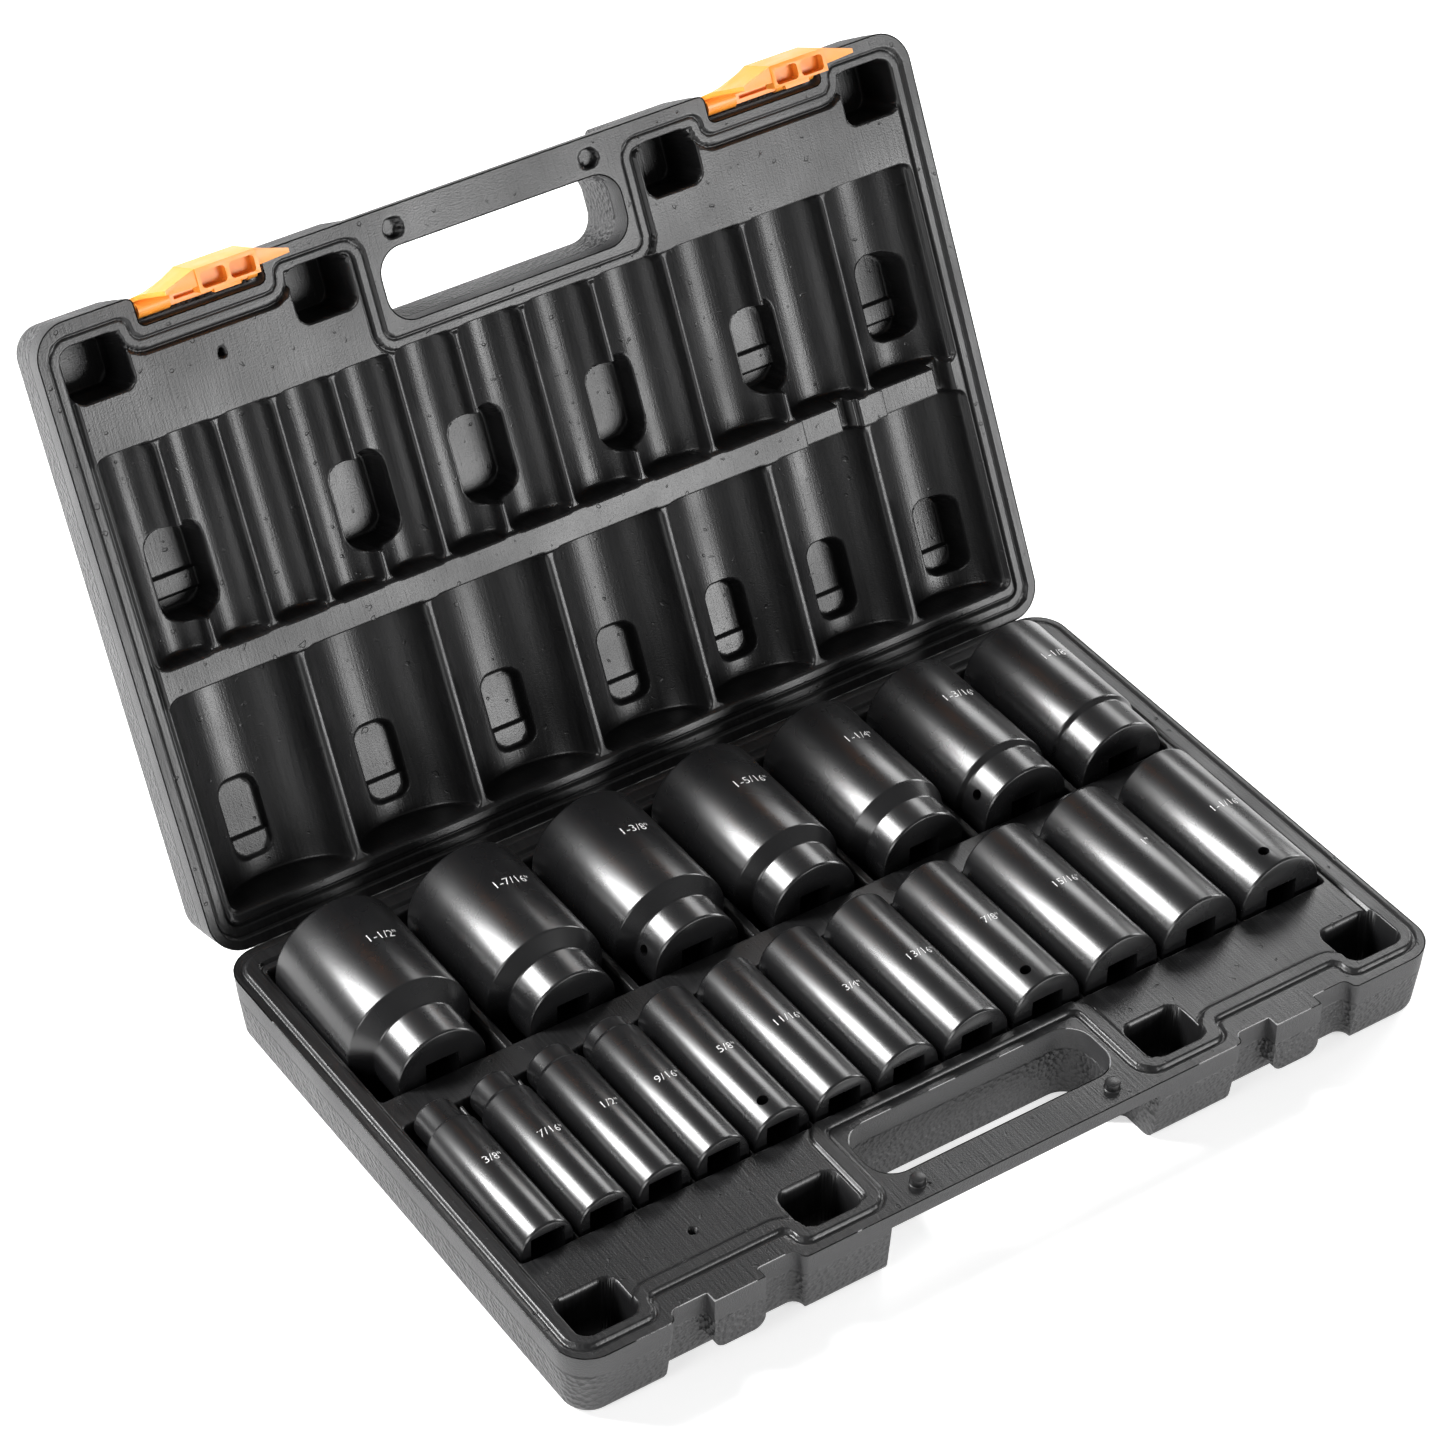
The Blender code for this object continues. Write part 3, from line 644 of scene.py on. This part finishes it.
def spaced(low, high, edges, coarse, fine):
    """Grid lines from low to high, close together near the given edges."""
    points = [low]
    while points[-1] < high - fine * 0.5:
        gap = min(abs(points[-1] + fine * 0.5 - edge) for edge in edges)
        points.append(min(points[-1] + min(coarse, fine + max(gap - 1.0, 0.0) * 0.4), high))
    return np.array(points)


def grid_x():
    edges = [TRAY_LEFT, TRAY_RIGHT, -SEAL_SIDE, SEAL_SIDE, SEAL_WIDTH - SEAL_SIDE, SEAL_SIDE - SEAL_WIDTH]
    edges += [BLOW_HOLE[0] - 1.0, BLOW_HOLE[0] + 1.0]
    for side in (-1, 1):
        edges += [side * SEAL_HANDLE_HALF, side * (SEAL_HANDLE_HALF + SEAL_WIDTH), side * HANDLE_HALF]
        edges += [side * (BAY_X - SEAL_BAY_HALF), side * (BAY_X + SEAL_BAY_HALF)]
    for px in POCKET_X:
        edges += [px - POCKET_SIZE[0] / 2, px + POCKET_SIZE[0] / 2]
    edges += ridge_lines(FRONT_ROW, FRONT_ROW_SPACE, 0.0) + ridge_lines(BACK_ROW, BACK_ROW_SPACE, 0.0)
    for left, right, _ in FINGER_RECESSES:
        edges += [left + RECESS_SHIFT, right - RECESS_SHIFT]
    for (name, _, _, _, _), shift in zip(BACK_ROW, BACK_RECESS_SHIFT):
        middle = PLACES[name] + shift
        edges += [middle - BACK_RECESS_HALF + RECESS_SHIFT, middle + BACK_RECESS_HALF - RECESS_SHIFT]
    edges += [*STEP_X, *SLOT_X[0], *SLOT_X[1], *PAD_X]
    edge = WIDTH / 2 - DECK_INSET
    return spaced(-edge, edge, edges, 1.3, 0.45)


def grid_y():
    edges = [*FRONT_TRAY, *BACK_TRAY, BACK_TRAY_LID[0], HANDLE_FRONT, HANDLE_BACK]
    edges += [SEAL_BACK, SEAL_BACK - SEAL_WIDTH]
    edges += [-SEAL_FRONT, SEAL_WIDTH - SEAL_FRONT, -SEAL_BAY_FRONT, SEAL_WIDTH - SEAL_BAY_FRONT]
    edges += [-SEAL_HANDLE_BACK, POCKET_Y - POCKET_SIZE[1] / 2, POCKET_Y + POCKET_SIZE[1] / 2]
    edges += [BLOW_HOLE[1] - 1.5, BLOW_HOLE[1] + 1.0, -DEPTH / 2 + BAY_DEPTH]
    edges += [LID_FRONT_END, BACK_TRAY_LID[1] - LEDGE, *FINGER_Y, *FINGER_BAR_Y, *BACK_RECESS_Y, BACK_SHELF_Y]
    edge = DEPTH / 2 - DECK_INSET
    return spaced(-edge, edge, edges, 1.3, 0.45)


def deck_distance(x, y, corners):
    """Signed distance to the deck's edge: the case's outline less the handle's opening."""
    case = outline_distance(x, y, rounded_outline(corners)) + DECK_INSET
    opening = box_distance(x, y, -HANDLE_HALF, HANDLE_HALF, HANDLE_FRONT, HANDLE_BACK, HANDLE_R)
    return np.maximum(case, DECK_INSET - opening)


def make_deck(name, corners, height, place, flip):
    """Inner face of a case half: a height field cut to the outline."""
    xs, ys = grid_x(), grid_y()
    x, y = np.meshgrid(xs, ys)
    centre_x = (x[1:, 1:] + x[:-1, :-1]) / 2
    centre_y = (y[1:, 1:] + y[:-1, :-1]) / 2
    keep = deck_distance(centre_x, centre_y, corners) < 0.0
    touched = np.zeros(x.shape, int)
    for dy in (0, 1):
        for dx in (0, 1):
            touched[dy:dy + keep.shape[0], dx:dx + keep.shape[1]] += keep
    edge = (touched > 0) & (touched < 4)
    ex, ey = x[edge], y[edge]
    for _ in range(3):
        step = 0.02
        d = deck_distance(ex, ey, corners)
        gx = (deck_distance(ex + step, ey, corners) - d) / step
        gy = (deck_distance(ex, ey + step, corners) - d) / step
        norm = np.maximum(gx * gx + gy * gy, 0.25)
        ex, ey = ex - d * gx / norm, ey - d * gy / norm
    x[edge], y[edge] = ex, ey
    z = height(x, y)
    index = np.full(x.shape, -1)
    used = touched > 0
    index[used] = np.arange(used.sum())
    quads = np.stack([index[:-1, :-1], index[:-1, 1:], index[1:, 1:], index[1:, :-1]], -1)[keep]
    if flip:
        quads = quads[:, ::-1]
    points = place(np.stack([x[used], y[used], z[used]], -1)) * MM
    mesh = bpy.data.meshes.new(name)
    mesh.from_pydata(points.tolist(), [], quads.tolist())
    layer = mesh.uv_layers.new(name="flat")
    flat = np.stack([x[used], y[used]], -1) * MM
    layer.uv.foreach_set("vector", flat[quads.ravel()].astype(np.float32).ravel())
    mesh.shade_smooth()
    item = bpy.data.objects.new(name, mesh)
    bpy.context.scene.collection.objects.link(item)
    return item


# ------------------------------------------------------------- solid pieces


def add_loft(bm, loops, closed=False):
    rings = [[bm.verts.new(point) for point in loop] for loop in loops]
    pairs = list(zip(rings, rings[1:]))
    if closed:
        pairs.append((rings[-1], rings[0]))
    for low, high in pairs:
        for i in range(len(low)):
            j = (i + 1) % len(low)
            bm.faces.new((low[i], low[j], high[j], high[i]))
    if not closed:
        bm.faces.new(list(reversed(rings[0])))
        bm.faces.new(rings[-1])


def add_prism(bm, outline, z0, z1):
    add_loft(bm, [[(x, y, z) for x, y in outline] for z in (z0, z1)])


def add_prism_x(bm, profile, x0, x1):
    add_loft(bm, [[(x, y, z) for y, z in profile] for x in (x0, x1)])


def add_prism_y(bm, profile, y0, y1):
    add_loft(bm, [[(x, y, z) for x, z in profile] for y in (y0, y1)])


def add_box(bm, x, y, z):
    add_prism(bm, [(x[0], y[0]), (x[1], y[0]), (x[1], y[1]), (x[0], y[1])], z[0], z[1])


def solid(name, build):
    """An object from a builder that fills a bmesh, in millimetres."""
    bm = bmesh.new()
    build(bm)
    bmesh.ops.recalc_face_normals(bm, faces=bm.faces)
    mesh = bpy.data.meshes.new(name)
    bm.to_mesh(mesh)
    bm.free()
    item = bpy.data.objects.new(name, mesh)
    bpy.context.scene.collection.objects.link(item)
    return item


def combine(target, steps, bevel=0.0, segments=3):
    """Applies Boolean steps (operation, builder) and a bevel, and leaves one plain mesh."""
    tools = []
    for operation, build in steps:
        tool = solid(target.name + "_tool", build)
        modifier = target.modifiers.new("cut", "BOOLEAN")
        modifier.operation = operation
        modifier.solver = "EXACT"
        modifier.object = tool
        tools.append(tool)
    if bevel:
        modifier = target.modifiers.new("edge", "BEVEL")
        modifier.width = bevel
        modifier.segments = segments
        modifier.limit_method = "ANGLE"
        modifier.angle_limit = math.radians(40.0)
        modifier.harden_normals = False
    graph = bpy.context.evaluated_depsgraph_get()
    mesh = bpy.data.meshes.new_from_object(target.evaluated_get(graph))
    target.modifiers.clear()
    target.data = mesh
    for tool in tools:
        bpy.data.objects.remove(tool)
    return target


def finish_piece(item, material, body, place=None, angle=30.0):
    """Puts a piece in its place, in metres, shades it and lets it ride."""
    mesh = item.data
    if place is not None:
        points = np.zeros(len(mesh.vertices) * 3)
        mesh.vertices.foreach_get("co", points)
        mesh.vertices.foreach_set("co", (place(points.reshape(-1, 3)) * MM).ravel())
    mesh.materials.clear()
    mesh.materials.append(material)
    if angle:
        mesh.shade_smooth()
        mesh.set_sharp_from_angle(angle=math.radians(angle))
    mesh.update()
    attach(item, body)
    return item


def from_base(points):
    """From height over the base's rim to the row frame."""
    return points + np.array([0.0, 0.0, RIM_Z])


def from_shut(points):
    """From the shut case to the row frame, with the lid open."""
    c, s = math.cos(-LID_OPEN), math.sin(-LID_OPEN)
    y, z = points[:, 1] - HINGE_Y, points[:, 2] - HINGE_Z
    return np.stack([points[:, 0], HINGE_Y + y * c - z * s, HINGE_Z + y * s + z * c], -1)


def from_lid(points):
    """From height over the lid's rim, towards the base, to the row frame."""
    shut = points * np.array([1.0, 1.0, -1.0]) + np.array([0.0, 0.0, RIM_Z + RIM_GAP])
    return from_shut(shut)


def unchanged(points):
    return points


def shell_loops(corners):
    levels = []
    for i in range(7):
        angle = math.radians(90.0 - 15.0 * i)
        levels.append((DRAFT_TOTAL + EDGE_R * (1 - math.cos(angle)), EDGE_R * (1 - math.sin(angle))))
    levels.append((DRAFT_UPPER, RIM_Z - UPPER_BAND))
    levels.append((0.0, RIM_Z))
    return [[(x, y, z - RIM_Z) for x, y in rounded_outline(corners, inset)] for inset, z in levels]


def catch_profile(centre_x):
    """Front view of a catch: rounded lower corners."""
    left = centre_x - CATCH_WIDTH / 2
    right = centre_x + CATCH_WIDTH / 2
    r = CATCH_R
    profile = [(left, 0.0)]
    profile += arc((left + r, r - CATCH_HEIGHT), r, math.pi, 1.5 * math.pi, 8)
    profile += arc((right - r, r - CATCH_HEIGHT), r, 1.5 * math.pi, 2 * math.pi, 8)
    profile.append((right, 0.0))
    return profile


def open_top(item):
    """Removes the flat cap at the rim, which the deck covers, and maps the depth below the rim."""
    bm = bmesh.new()
    bm.from_mesh(item.data)
    caps = [f for f in bm.faces if f.normal.z > 0.999 and f.calc_center_median().z > -0.01]
    bmesh.ops.delete(bm, geom=caps, context="FACES")
    layer = bm.loops.layers.uv.new("flat")
    for face in bm.faces:
        for loop in face.loops:
            loop[layer].uv = (-loop.vert.co.z * MM, loop.vert.co.x * MM)
    bm.to_mesh(item.data)
    bm.free()


def make_skin(name, corners, catches):
    """Outside of a case half, with the handle cut through and under its bar."""
    item = solid(name, lambda bm: add_loft(bm, shell_loops(corners)))
    half = BAR_UNDERCUT_HALF

    def opening(bm):
        add_prism(bm, rounded_outline(handle_corners()), -RIM_Z - 5.0, 5.0)

    def undercut(bm):
        corners_cut = rectangle(-half, half, -DEPTH / 2 - 10.0, HANDLE_FRONT + 5.0, 3.0)
        add_prism(bm, rounded_outline(corners_cut), -RIM_Z - 5.0, -BAR_THICKNESS)

    def blocks(bm):
        for side in (-1, 1):
            add_prism_y(bm, catch_profile(side * BAY_X), -DEPTH / 2 + CATCH_INSET, -DEPTH / 2 + 12.0)

    def pivot_bays(bm):
        for side in (-1, 1):
            x0, x1 = (side * BAY_X + half_bay for half_bay in (-BAY_WIDTH / 2, BAY_WIDTH / 2))
            bay = rectangle(x0, x1, -DEPTH / 2 - 5.0, -DEPTH / 2 + PIVOT_BAY_DEPTH, BAY_INNER_R)
            add_prism(bm, rounded_outline(bay), -PIVOT_BAY_TOP, 5.0)

    steps = [("DIFFERENCE", opening), ("DIFFERENCE", undercut)]
    steps.append(("UNION", blocks) if catches else ("DIFFERENCE", pivot_bays))
    combine(item, steps, SKIN_BEVEL)
    open_top(item)
    return item


def make_base(deck, skin):
    corners = case_corners(BAY_DEPTH, catch=True)
    item = make_deck("base_deck", corners, base_height, from_base, False)
    finish_piece(item, deck, "base", angle=0.0)
    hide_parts("case_base")
    item = make_skin("base_skin", case_corners(BAY_DEPTH), True)
    finish_piece(item, skin, "base", from_base)
    pins = solid("base_pins", add_pins)
    finish_piece(pins, deck, "base", from_base)


def add_pins(bm):
    """Two round locating pins with domed edges on the handle bar."""
    for side in (-1, 1):
        centre = (side * PIN_X, PIN_Y)
        levels = [(PIN_R + 0.4, -0.1), (PIN_R, 0.3), (PIN_R - 0.05, PIN_HEIGHT - 0.6)]
        levels += [(PIN_R - 0.25, PIN_HEIGHT - 0.15), (PIN_R - 0.7, PIN_HEIGHT)]
        add_loft(bm, [[(x, y, z) for x, y in circle(centre, r, 32)] for r, z in levels])


def make_lid(deck, skin):
    corners = case_corners(PIVOT_BAY_DEPTH)
    item = make_deck("lid_deck", corners, lid_height, from_lid, True)
    finish_piece(item, deck, "lid", angle=0.0)
    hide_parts("case_lid")
    item = make_skin("lid_skin", case_corners(BAY_DEPTH), False)
    item.data.flip_normals()
    finish_piece(item, skin, "lid", from_lid)


def make_hinge(material):
    """Thin strip that bends from the base's back edge to the lid's."""
    start = np.array([[0.0, 123.9, RIM_Z - 0.25]])
    end = from_shut(np.array([[0.0, 123.9, RIM_Z + RIM_GAP + 0.25]]))
    middle = np.array([[0.0, HINGE_Y + 0.35, HINGE_Z]])
    xs = np.linspace(-178.0, 178.0, 240)
    steps = 9
    points = []
    for i in range(steps):
        t = i / (steps - 1)
        curve = (1 - t) ** 2 * start + 2 * t * (1 - t) * middle + t * t * end
        for x in xs:
            wave = 0.12 * math.sin(x * 0.21) + 0.08 * math.sin(x * 0.57 + 1.0)
            belly = math.sin(math.pi * t)
            points.append((x, curve[0, 1] + wave * belly, curve[0, 2] + 0.15 * belly))
    faces = []
    for i in range(steps - 1):
        for j in range(len(xs) - 1):
            a = i * len(xs) + j
            faces.append((a, a + 1, a + 1 + len(xs), a + len(xs)))
    mesh = bpy.data.meshes.new("hinge_strip")
    mesh.from_pydata([tuple(c * MM for c in p) for p in points], [], faces)
    item = bpy.data.objects.new("hinge_strip", mesh)
    bpy.context.scene.collection.objects.link(item)
    mesh.materials.append(material)
    mesh.shade_smooth()
    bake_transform(item)
    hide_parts("living_hinge")


# ------------------------------------------------------------------ latches


def make_latch(name, centre, material):
    """A moulded latch: a hollow grip with tapered ears on both sides, hung on a barrel."""
    # Height, then depth of the ears' outside, of the grip's outside and of the inner face
    levels = (
        (1.2, -127.5, -131.5, -125.2),
        (10.0, -126.6, -131.5, -124.2),
        (20.0, -125.5, -131.5, -123.0),
        (26.0, -124.8, -128.8, -122.2),
        (32.0, -123.7, -125.7, -121.3),
        (36.0, -122.9, -124.2, -119.0),
        (40.4, -121.6, -122.7, -119.0),
    )
    grip = [
        (-119.4, 36.0), (-119.4, 40.6), (-122.8, 40.6), (-125.6, 32.0), (GRIP_FRONT_Y, 20.0),
        (GRIP_FRONT_Y, 0.6), (-122.6, 0.6), (-122.6, 7.0), (-124.5, 7.6), (-124.5, 33.0), (-121.4, 36.0),
    ]

    def ears(bm):
        loops = []
        for z, tip, front, inner in levels:
            outline = [(-LATCH_HALF, tip), (-GRIP_HALF, front), (GRIP_HALF, front), (LATCH_HALF, tip)]
            outline += [(LATCH_HALF, tip + 1.7), (GRIP_HALF + 1.0, inner), (-GRIP_HALF - 1.0, inner)]
            outline.append((-LATCH_HALF, tip + 1.7))
            loops.append([(centre + x, y, z) for x, y in outline])
        add_loft(bm, loops)

    item = solid(name + "_moulding", ears)

    def barrel(bm):
        for low, high in ((-24.7, -11.6), (7.2, 18.4), (20.8, 24.7)):
            add_prism_x(bm, circle(LATCH_PIVOT, 3.6, 32), centre + low, centre + high)

    def web(bm):
        add_box(bm, (centre - 12.0, centre + 21.5), (-120.5, -115.6), (35.2, 39.2))

    def slot(bm):
        add_box(bm, (centre - 9.5, centre + 5.2), (-118.6, -117.2), (34.0, 37.6))

    def window(bm):
        add_box(bm, (centre - GRIP_HALF + 0.5, centre + GRIP_HALF - 0.5), (-124.4, -119.0), (-5.0, 32.5))

    def body(bm):
        add_prism_x(bm, grip, centre - GRIP_HALF, centre + GRIP_HALF)

    def hollow(bm):
        inner = GRIP_HALF - 1.4
        for side in (-1, 1):
            x = sorted((centre + side * 0.8, centre + side * inner))
            corners = rectangle(x[0], x[1], GRIP_FRONT_Y + 1.8, -123.6, 1.6)
            add_prism(bm, rounded_outline(corners), -5.0, 4.7)

    def hook(bm):
        add_box(bm, (centre - 5.4, centre + 5.4), (-123.5, -120.4), (4.7, 7.6))

    def ends(bm):
        for side in (-1, 1):
            x = sorted((centre + side * (LATCH_HALF - 3.0), centre + side * 28.0))
            add_prism_x(bm, circle(LATCH_PIVOT, 1.8, 24), x[0], x[1])

    combine(item, [
        ("UNION", barrel), ("UNION", web), ("DIFFERENCE", slot), ("DIFFERENCE", window),
        ("UNION", body), ("DIFFERENCE", hollow), ("UNION", hook), ("UNION", ends),
    ], 0.35)
    finish_piece(item, material, name, from_shut)
    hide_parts(name)


# ------------------------------------------------------------------ sockets


def polygon_ring(sides, flats, turn, count):
    """Radius of a regular polygon's wall at evenly spaced angles."""
    ring = []
    for k in range(count):
        angle = math.tau * k / count
        wedge = math.tau / sides
        local = (angle - turn + wedge / 2) % wedge - wedge / 2
        ring.append(flats / 2 / math.cos(local))
    return ring


def socket_rings(name, size, diameter):
    """Rings (distance from the drive face, radii round the axis) over the outside, then back inside."""
    count = 96
    r = diameter / 2
    even = [1.0] * count

    def ring(along, radius):
        return along, [radius * e for e in even]

    rings = []
    if name in DRIVE_NECKS:
        neck, length, cone = DRIVE_NECKS[name]
        n = neck / 2
        rings += [ring(0.0, n - 1.0), ring(0.25, n - 0.45), ring(0.8, n - 0.1), ring(1.3, n)]
        rings += [ring(length - 0.4, n), ring(length, n + 0.1), ring(length + 0.5, n + 0.5)]
        shoulder = length + cone
        rings += [ring(shoulder - 0.4, r - 0.4), ring(shoulder, r - 0.1), ring(shoulder + 0.6, r)]
    else:
        rings += [ring(0.0, r - 1.0), ring(0.25, r - 0.45), ring(0.8, r - 0.1), ring(1.3, r)]
    end = SOCKET_LENGTH
    tip = r
    if name in HEX_NOSES:
        nose, length, cone = HEX_NOSES[name]
        tip = nose / 2
        start = end - length
        rings += [ring(start - cone - 0.3, r), ring(start - cone + 0.3, r - 0.15)]
        rings += [ring(start - 0.3, tip + 0.15), ring(start + 0.3, tip)]
    rings += [ring(end - 1.3, tip), ring(end - 0.8, tip - 0.1)]
    rings += [ring(end - 0.25, tip - 0.45), ring(end, tip - 1.0)]

    flats = size * INCH + HEX_CLEARANCE
    bore = min(flats, diameter * 0.72) * 0.47
    corner = flats / math.sqrt(3)
    hexagon = polygon_ring(6, flats, math.pi / 2, count)
    square = polygon_ring(4, DRIVE_SQUARE, 0.0, count)
    mouth = min(corner + 0.3, tip - 1.2)
    rings += [ring(end, mouth), (end - 1.2, [min(h, mouth) for h in hexagon])]
    rings += [(end - HEX_DEPTH, hexagon), ring(end - HEX_DEPTH - 1.0, bore), ring(DRIVE_DEPTH, bore)]
    rings += [(DRIVE_DEPTH, square), (0.9, square), (0.0, [s + 0.6 for s in square])]
    return rings


def make_socket(row_y, entry, material):
    name, size, diameter, _, turn = entry
    title = "socket_" + name

    def lathe(bm):
        loops = []
        for along, radii in socket_rings(name, size, diameter):
            loop = []
            for k, radius in enumerate(radii):
                angle = math.tau * k / len(radii)
                px = PLACES[name] + radius * math.sin(angle)
                loop.append((px, row_y + along, RIM_Z + radius * math.cos(angle)))
            loops.append(loop)
        add_loft(bm, loops, closed=True)

    item = solid(title + "_steel", lathe)
    lean = math.radians(turn)
    out = Vector((math.sin(lean), 0.0, math.cos(lean)))
    centre = Vector((PLACES[name], row_y + DETENT_PLACE, RIM_Z))

    def detent(bm):
        r, depth = DETENT_R, diameter / 2
        made = bmesh.ops.create_cone(bm, cap_ends=True, segments=24, radius1=r, radius2=r, depth=depth)
        turned = out.to_track_quat("Z", "Y").to_matrix().to_4x4()
        middle = Matrix.Translation(centre + out * (diameter / 4 + 3.0))
        bmesh.ops.transform(bm, matrix=middle @ turned, verts=made["verts"])

    combine(item, [("DIFFERENCE", detent)])
    finish_piece(item, material, title, unchanged, 28.0)
    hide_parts(title + "_inch")


def make_mark(row_y, entry, material, along, turn, height):
    """The size etched round the socket, as thin letters wrapped on its surface."""
    name, _, diameter, mark, _ = entry
    curve = bpy.data.curves.new("mark", "FONT")
    curve.body = mark
    curve.size = height
    curve.align_x = "CENTER"
    curve.resolution_u = 2
    curve.offset = -0.05
    source = bpy.data.objects.new("mark", curve)
    bpy.context.scene.collection.objects.link(source)
    graph = bpy.context.evaluated_depsgraph_get()
    mesh = bpy.data.meshes.new_from_object(source.evaluated_get(graph))
    bpy.data.objects.remove(source)
    r = diameter / 2 + 0.03
    for vertex in mesh.vertices:
        x, y, _ = vertex.co
        angle = math.radians(turn) + x / r
        vertex.co = (PLACES[name] + r * math.sin(angle), row_y + along + y, RIM_Z + r * math.cos(angle))
    item = bpy.data.objects.new("mark_" + name, mesh)
    bpy.context.scene.collection.objects.link(item)
    finish_piece(item, material, "socket_" + name, unchanged, 0.0)


# -------------------------------------------------------------------- scene


def make_floor():
    bm = bmesh.new()
    bmesh.ops.create_grid(bm, x_segments=1, y_segments=1, size=30.0)
    mesh = bpy.data.meshes.new("floor")
    bm.to_mesh(mesh)
    bm.free()
    floor = bpy.data.objects.new("floor", mesh)
    bpy.context.scene.collection.objects.link(floor)
    material, tree, shader = new_material("floor_paper", (0.9, 0.9, 0.9), 0.9)
    shade = add_noise(tree, coordinates(tree, "Object"), 4.0)
    tree.links.new(add_mix(tree, shade, (0.88, 0.88, 0.88), (0.92, 0.92, 0.92)), shader.inputs["Base Color"])
    shader.inputs["Emission Color"].default_value = (1.0, 1.0, 1.0, 1.0)
    shader.inputs["Emission Strength"].default_value = 0.55
    mesh.materials.append(material)


def add_light(name, location, target, size, power, colour=(1.0, 1.0, 1.0)):
    light = bpy.data.lights.new(name, "AREA")
    light.shape = "RECTANGLE"
    light.size, light.size_y = size
    light.energy = power
    light.color = colour
    item = bpy.data.objects.new(name, light)
    item.location = location
    item.rotation_euler = (Vector(target) - Vector(location)).to_track_quat("-Z", "Y").to_euler()
    bpy.context.scene.collection.objects.link(item)


def make_lights():
    world = bpy.data.worlds.new("studio")
    world.use_nodes = True
    background = world.node_tree.nodes["Background"]
    background.inputs["Color"].default_value = (1.0, 1.0, 1.0, 1.0)
    background.inputs["Strength"].default_value = 0.16
    bpy.context.scene.world = world
    bpy.context.scene.view_settings.view_transform = "Standard"
    add_light("key", (-1.24, 0.95, 1.41), (0.0, 0.0, 0.05), (0.42, 0.9), 72.0)
    add_light("back", (1.4, 1.2, 1.35), (0.1, 0.0, 0.05), (0.7, 0.7), 12.0)
    add_light("right", (1.5, 0.35, 0.55), (0.1, 0.0, 0.03), (0.5, 0.5), 8.0)
    add_light("lid_fill", (1.15, -2.3, 0.6), (0.0, 0.15, 0.2), (1.3, 0.7), 50.0)
    add_light("left", (-1.9, -0.6, 0.9), (0.0, 0.0, 0.1), (0.8, 0.8), 12.0)


def make_camera():
    camera = bpy.data.cameras.new("camera")
    camera.lens = 112.72
    camera.sensor_width = 36.0
    item = bpy.data.objects.new("camera", camera)
    item.location = (-0.7342, -1.0215, 1.1773)
    aim = Vector((0.4303, 0.6418, -0.6348))
    item.rotation_euler = aim.to_track_quat("-Z", "Y").to_euler()
    bpy.context.scene.collection.objects.link(item)
    bpy.context.scene.camera = item


def build_scene():
    deck, skin, steel = deck_material(), skin_material(), socket_material()
    make_base(deck, skin)
    make_lid(deck, skin)
    make_hinge(hinge_material())
    orange = latch_material()
    make_latch("latch_left", -BAY_X, orange)
    make_latch("latch_right", BAY_X, orange)
    etch = etch_material()
    for entry in FRONT_ROW:
        make_socket(FRONT_ROW_Y, entry, steel)
        make_mark(FRONT_ROW_Y, entry, etch, *FRONT_MARK)
    for entry in BACK_ROW:
        make_socket(BACK_ROW_Y, entry, steel)
        make_mark(BACK_ROW_Y, entry, etch, *BACK_MARK)
    make_floor()
    make_lights()
    make_camera()


build_scene()
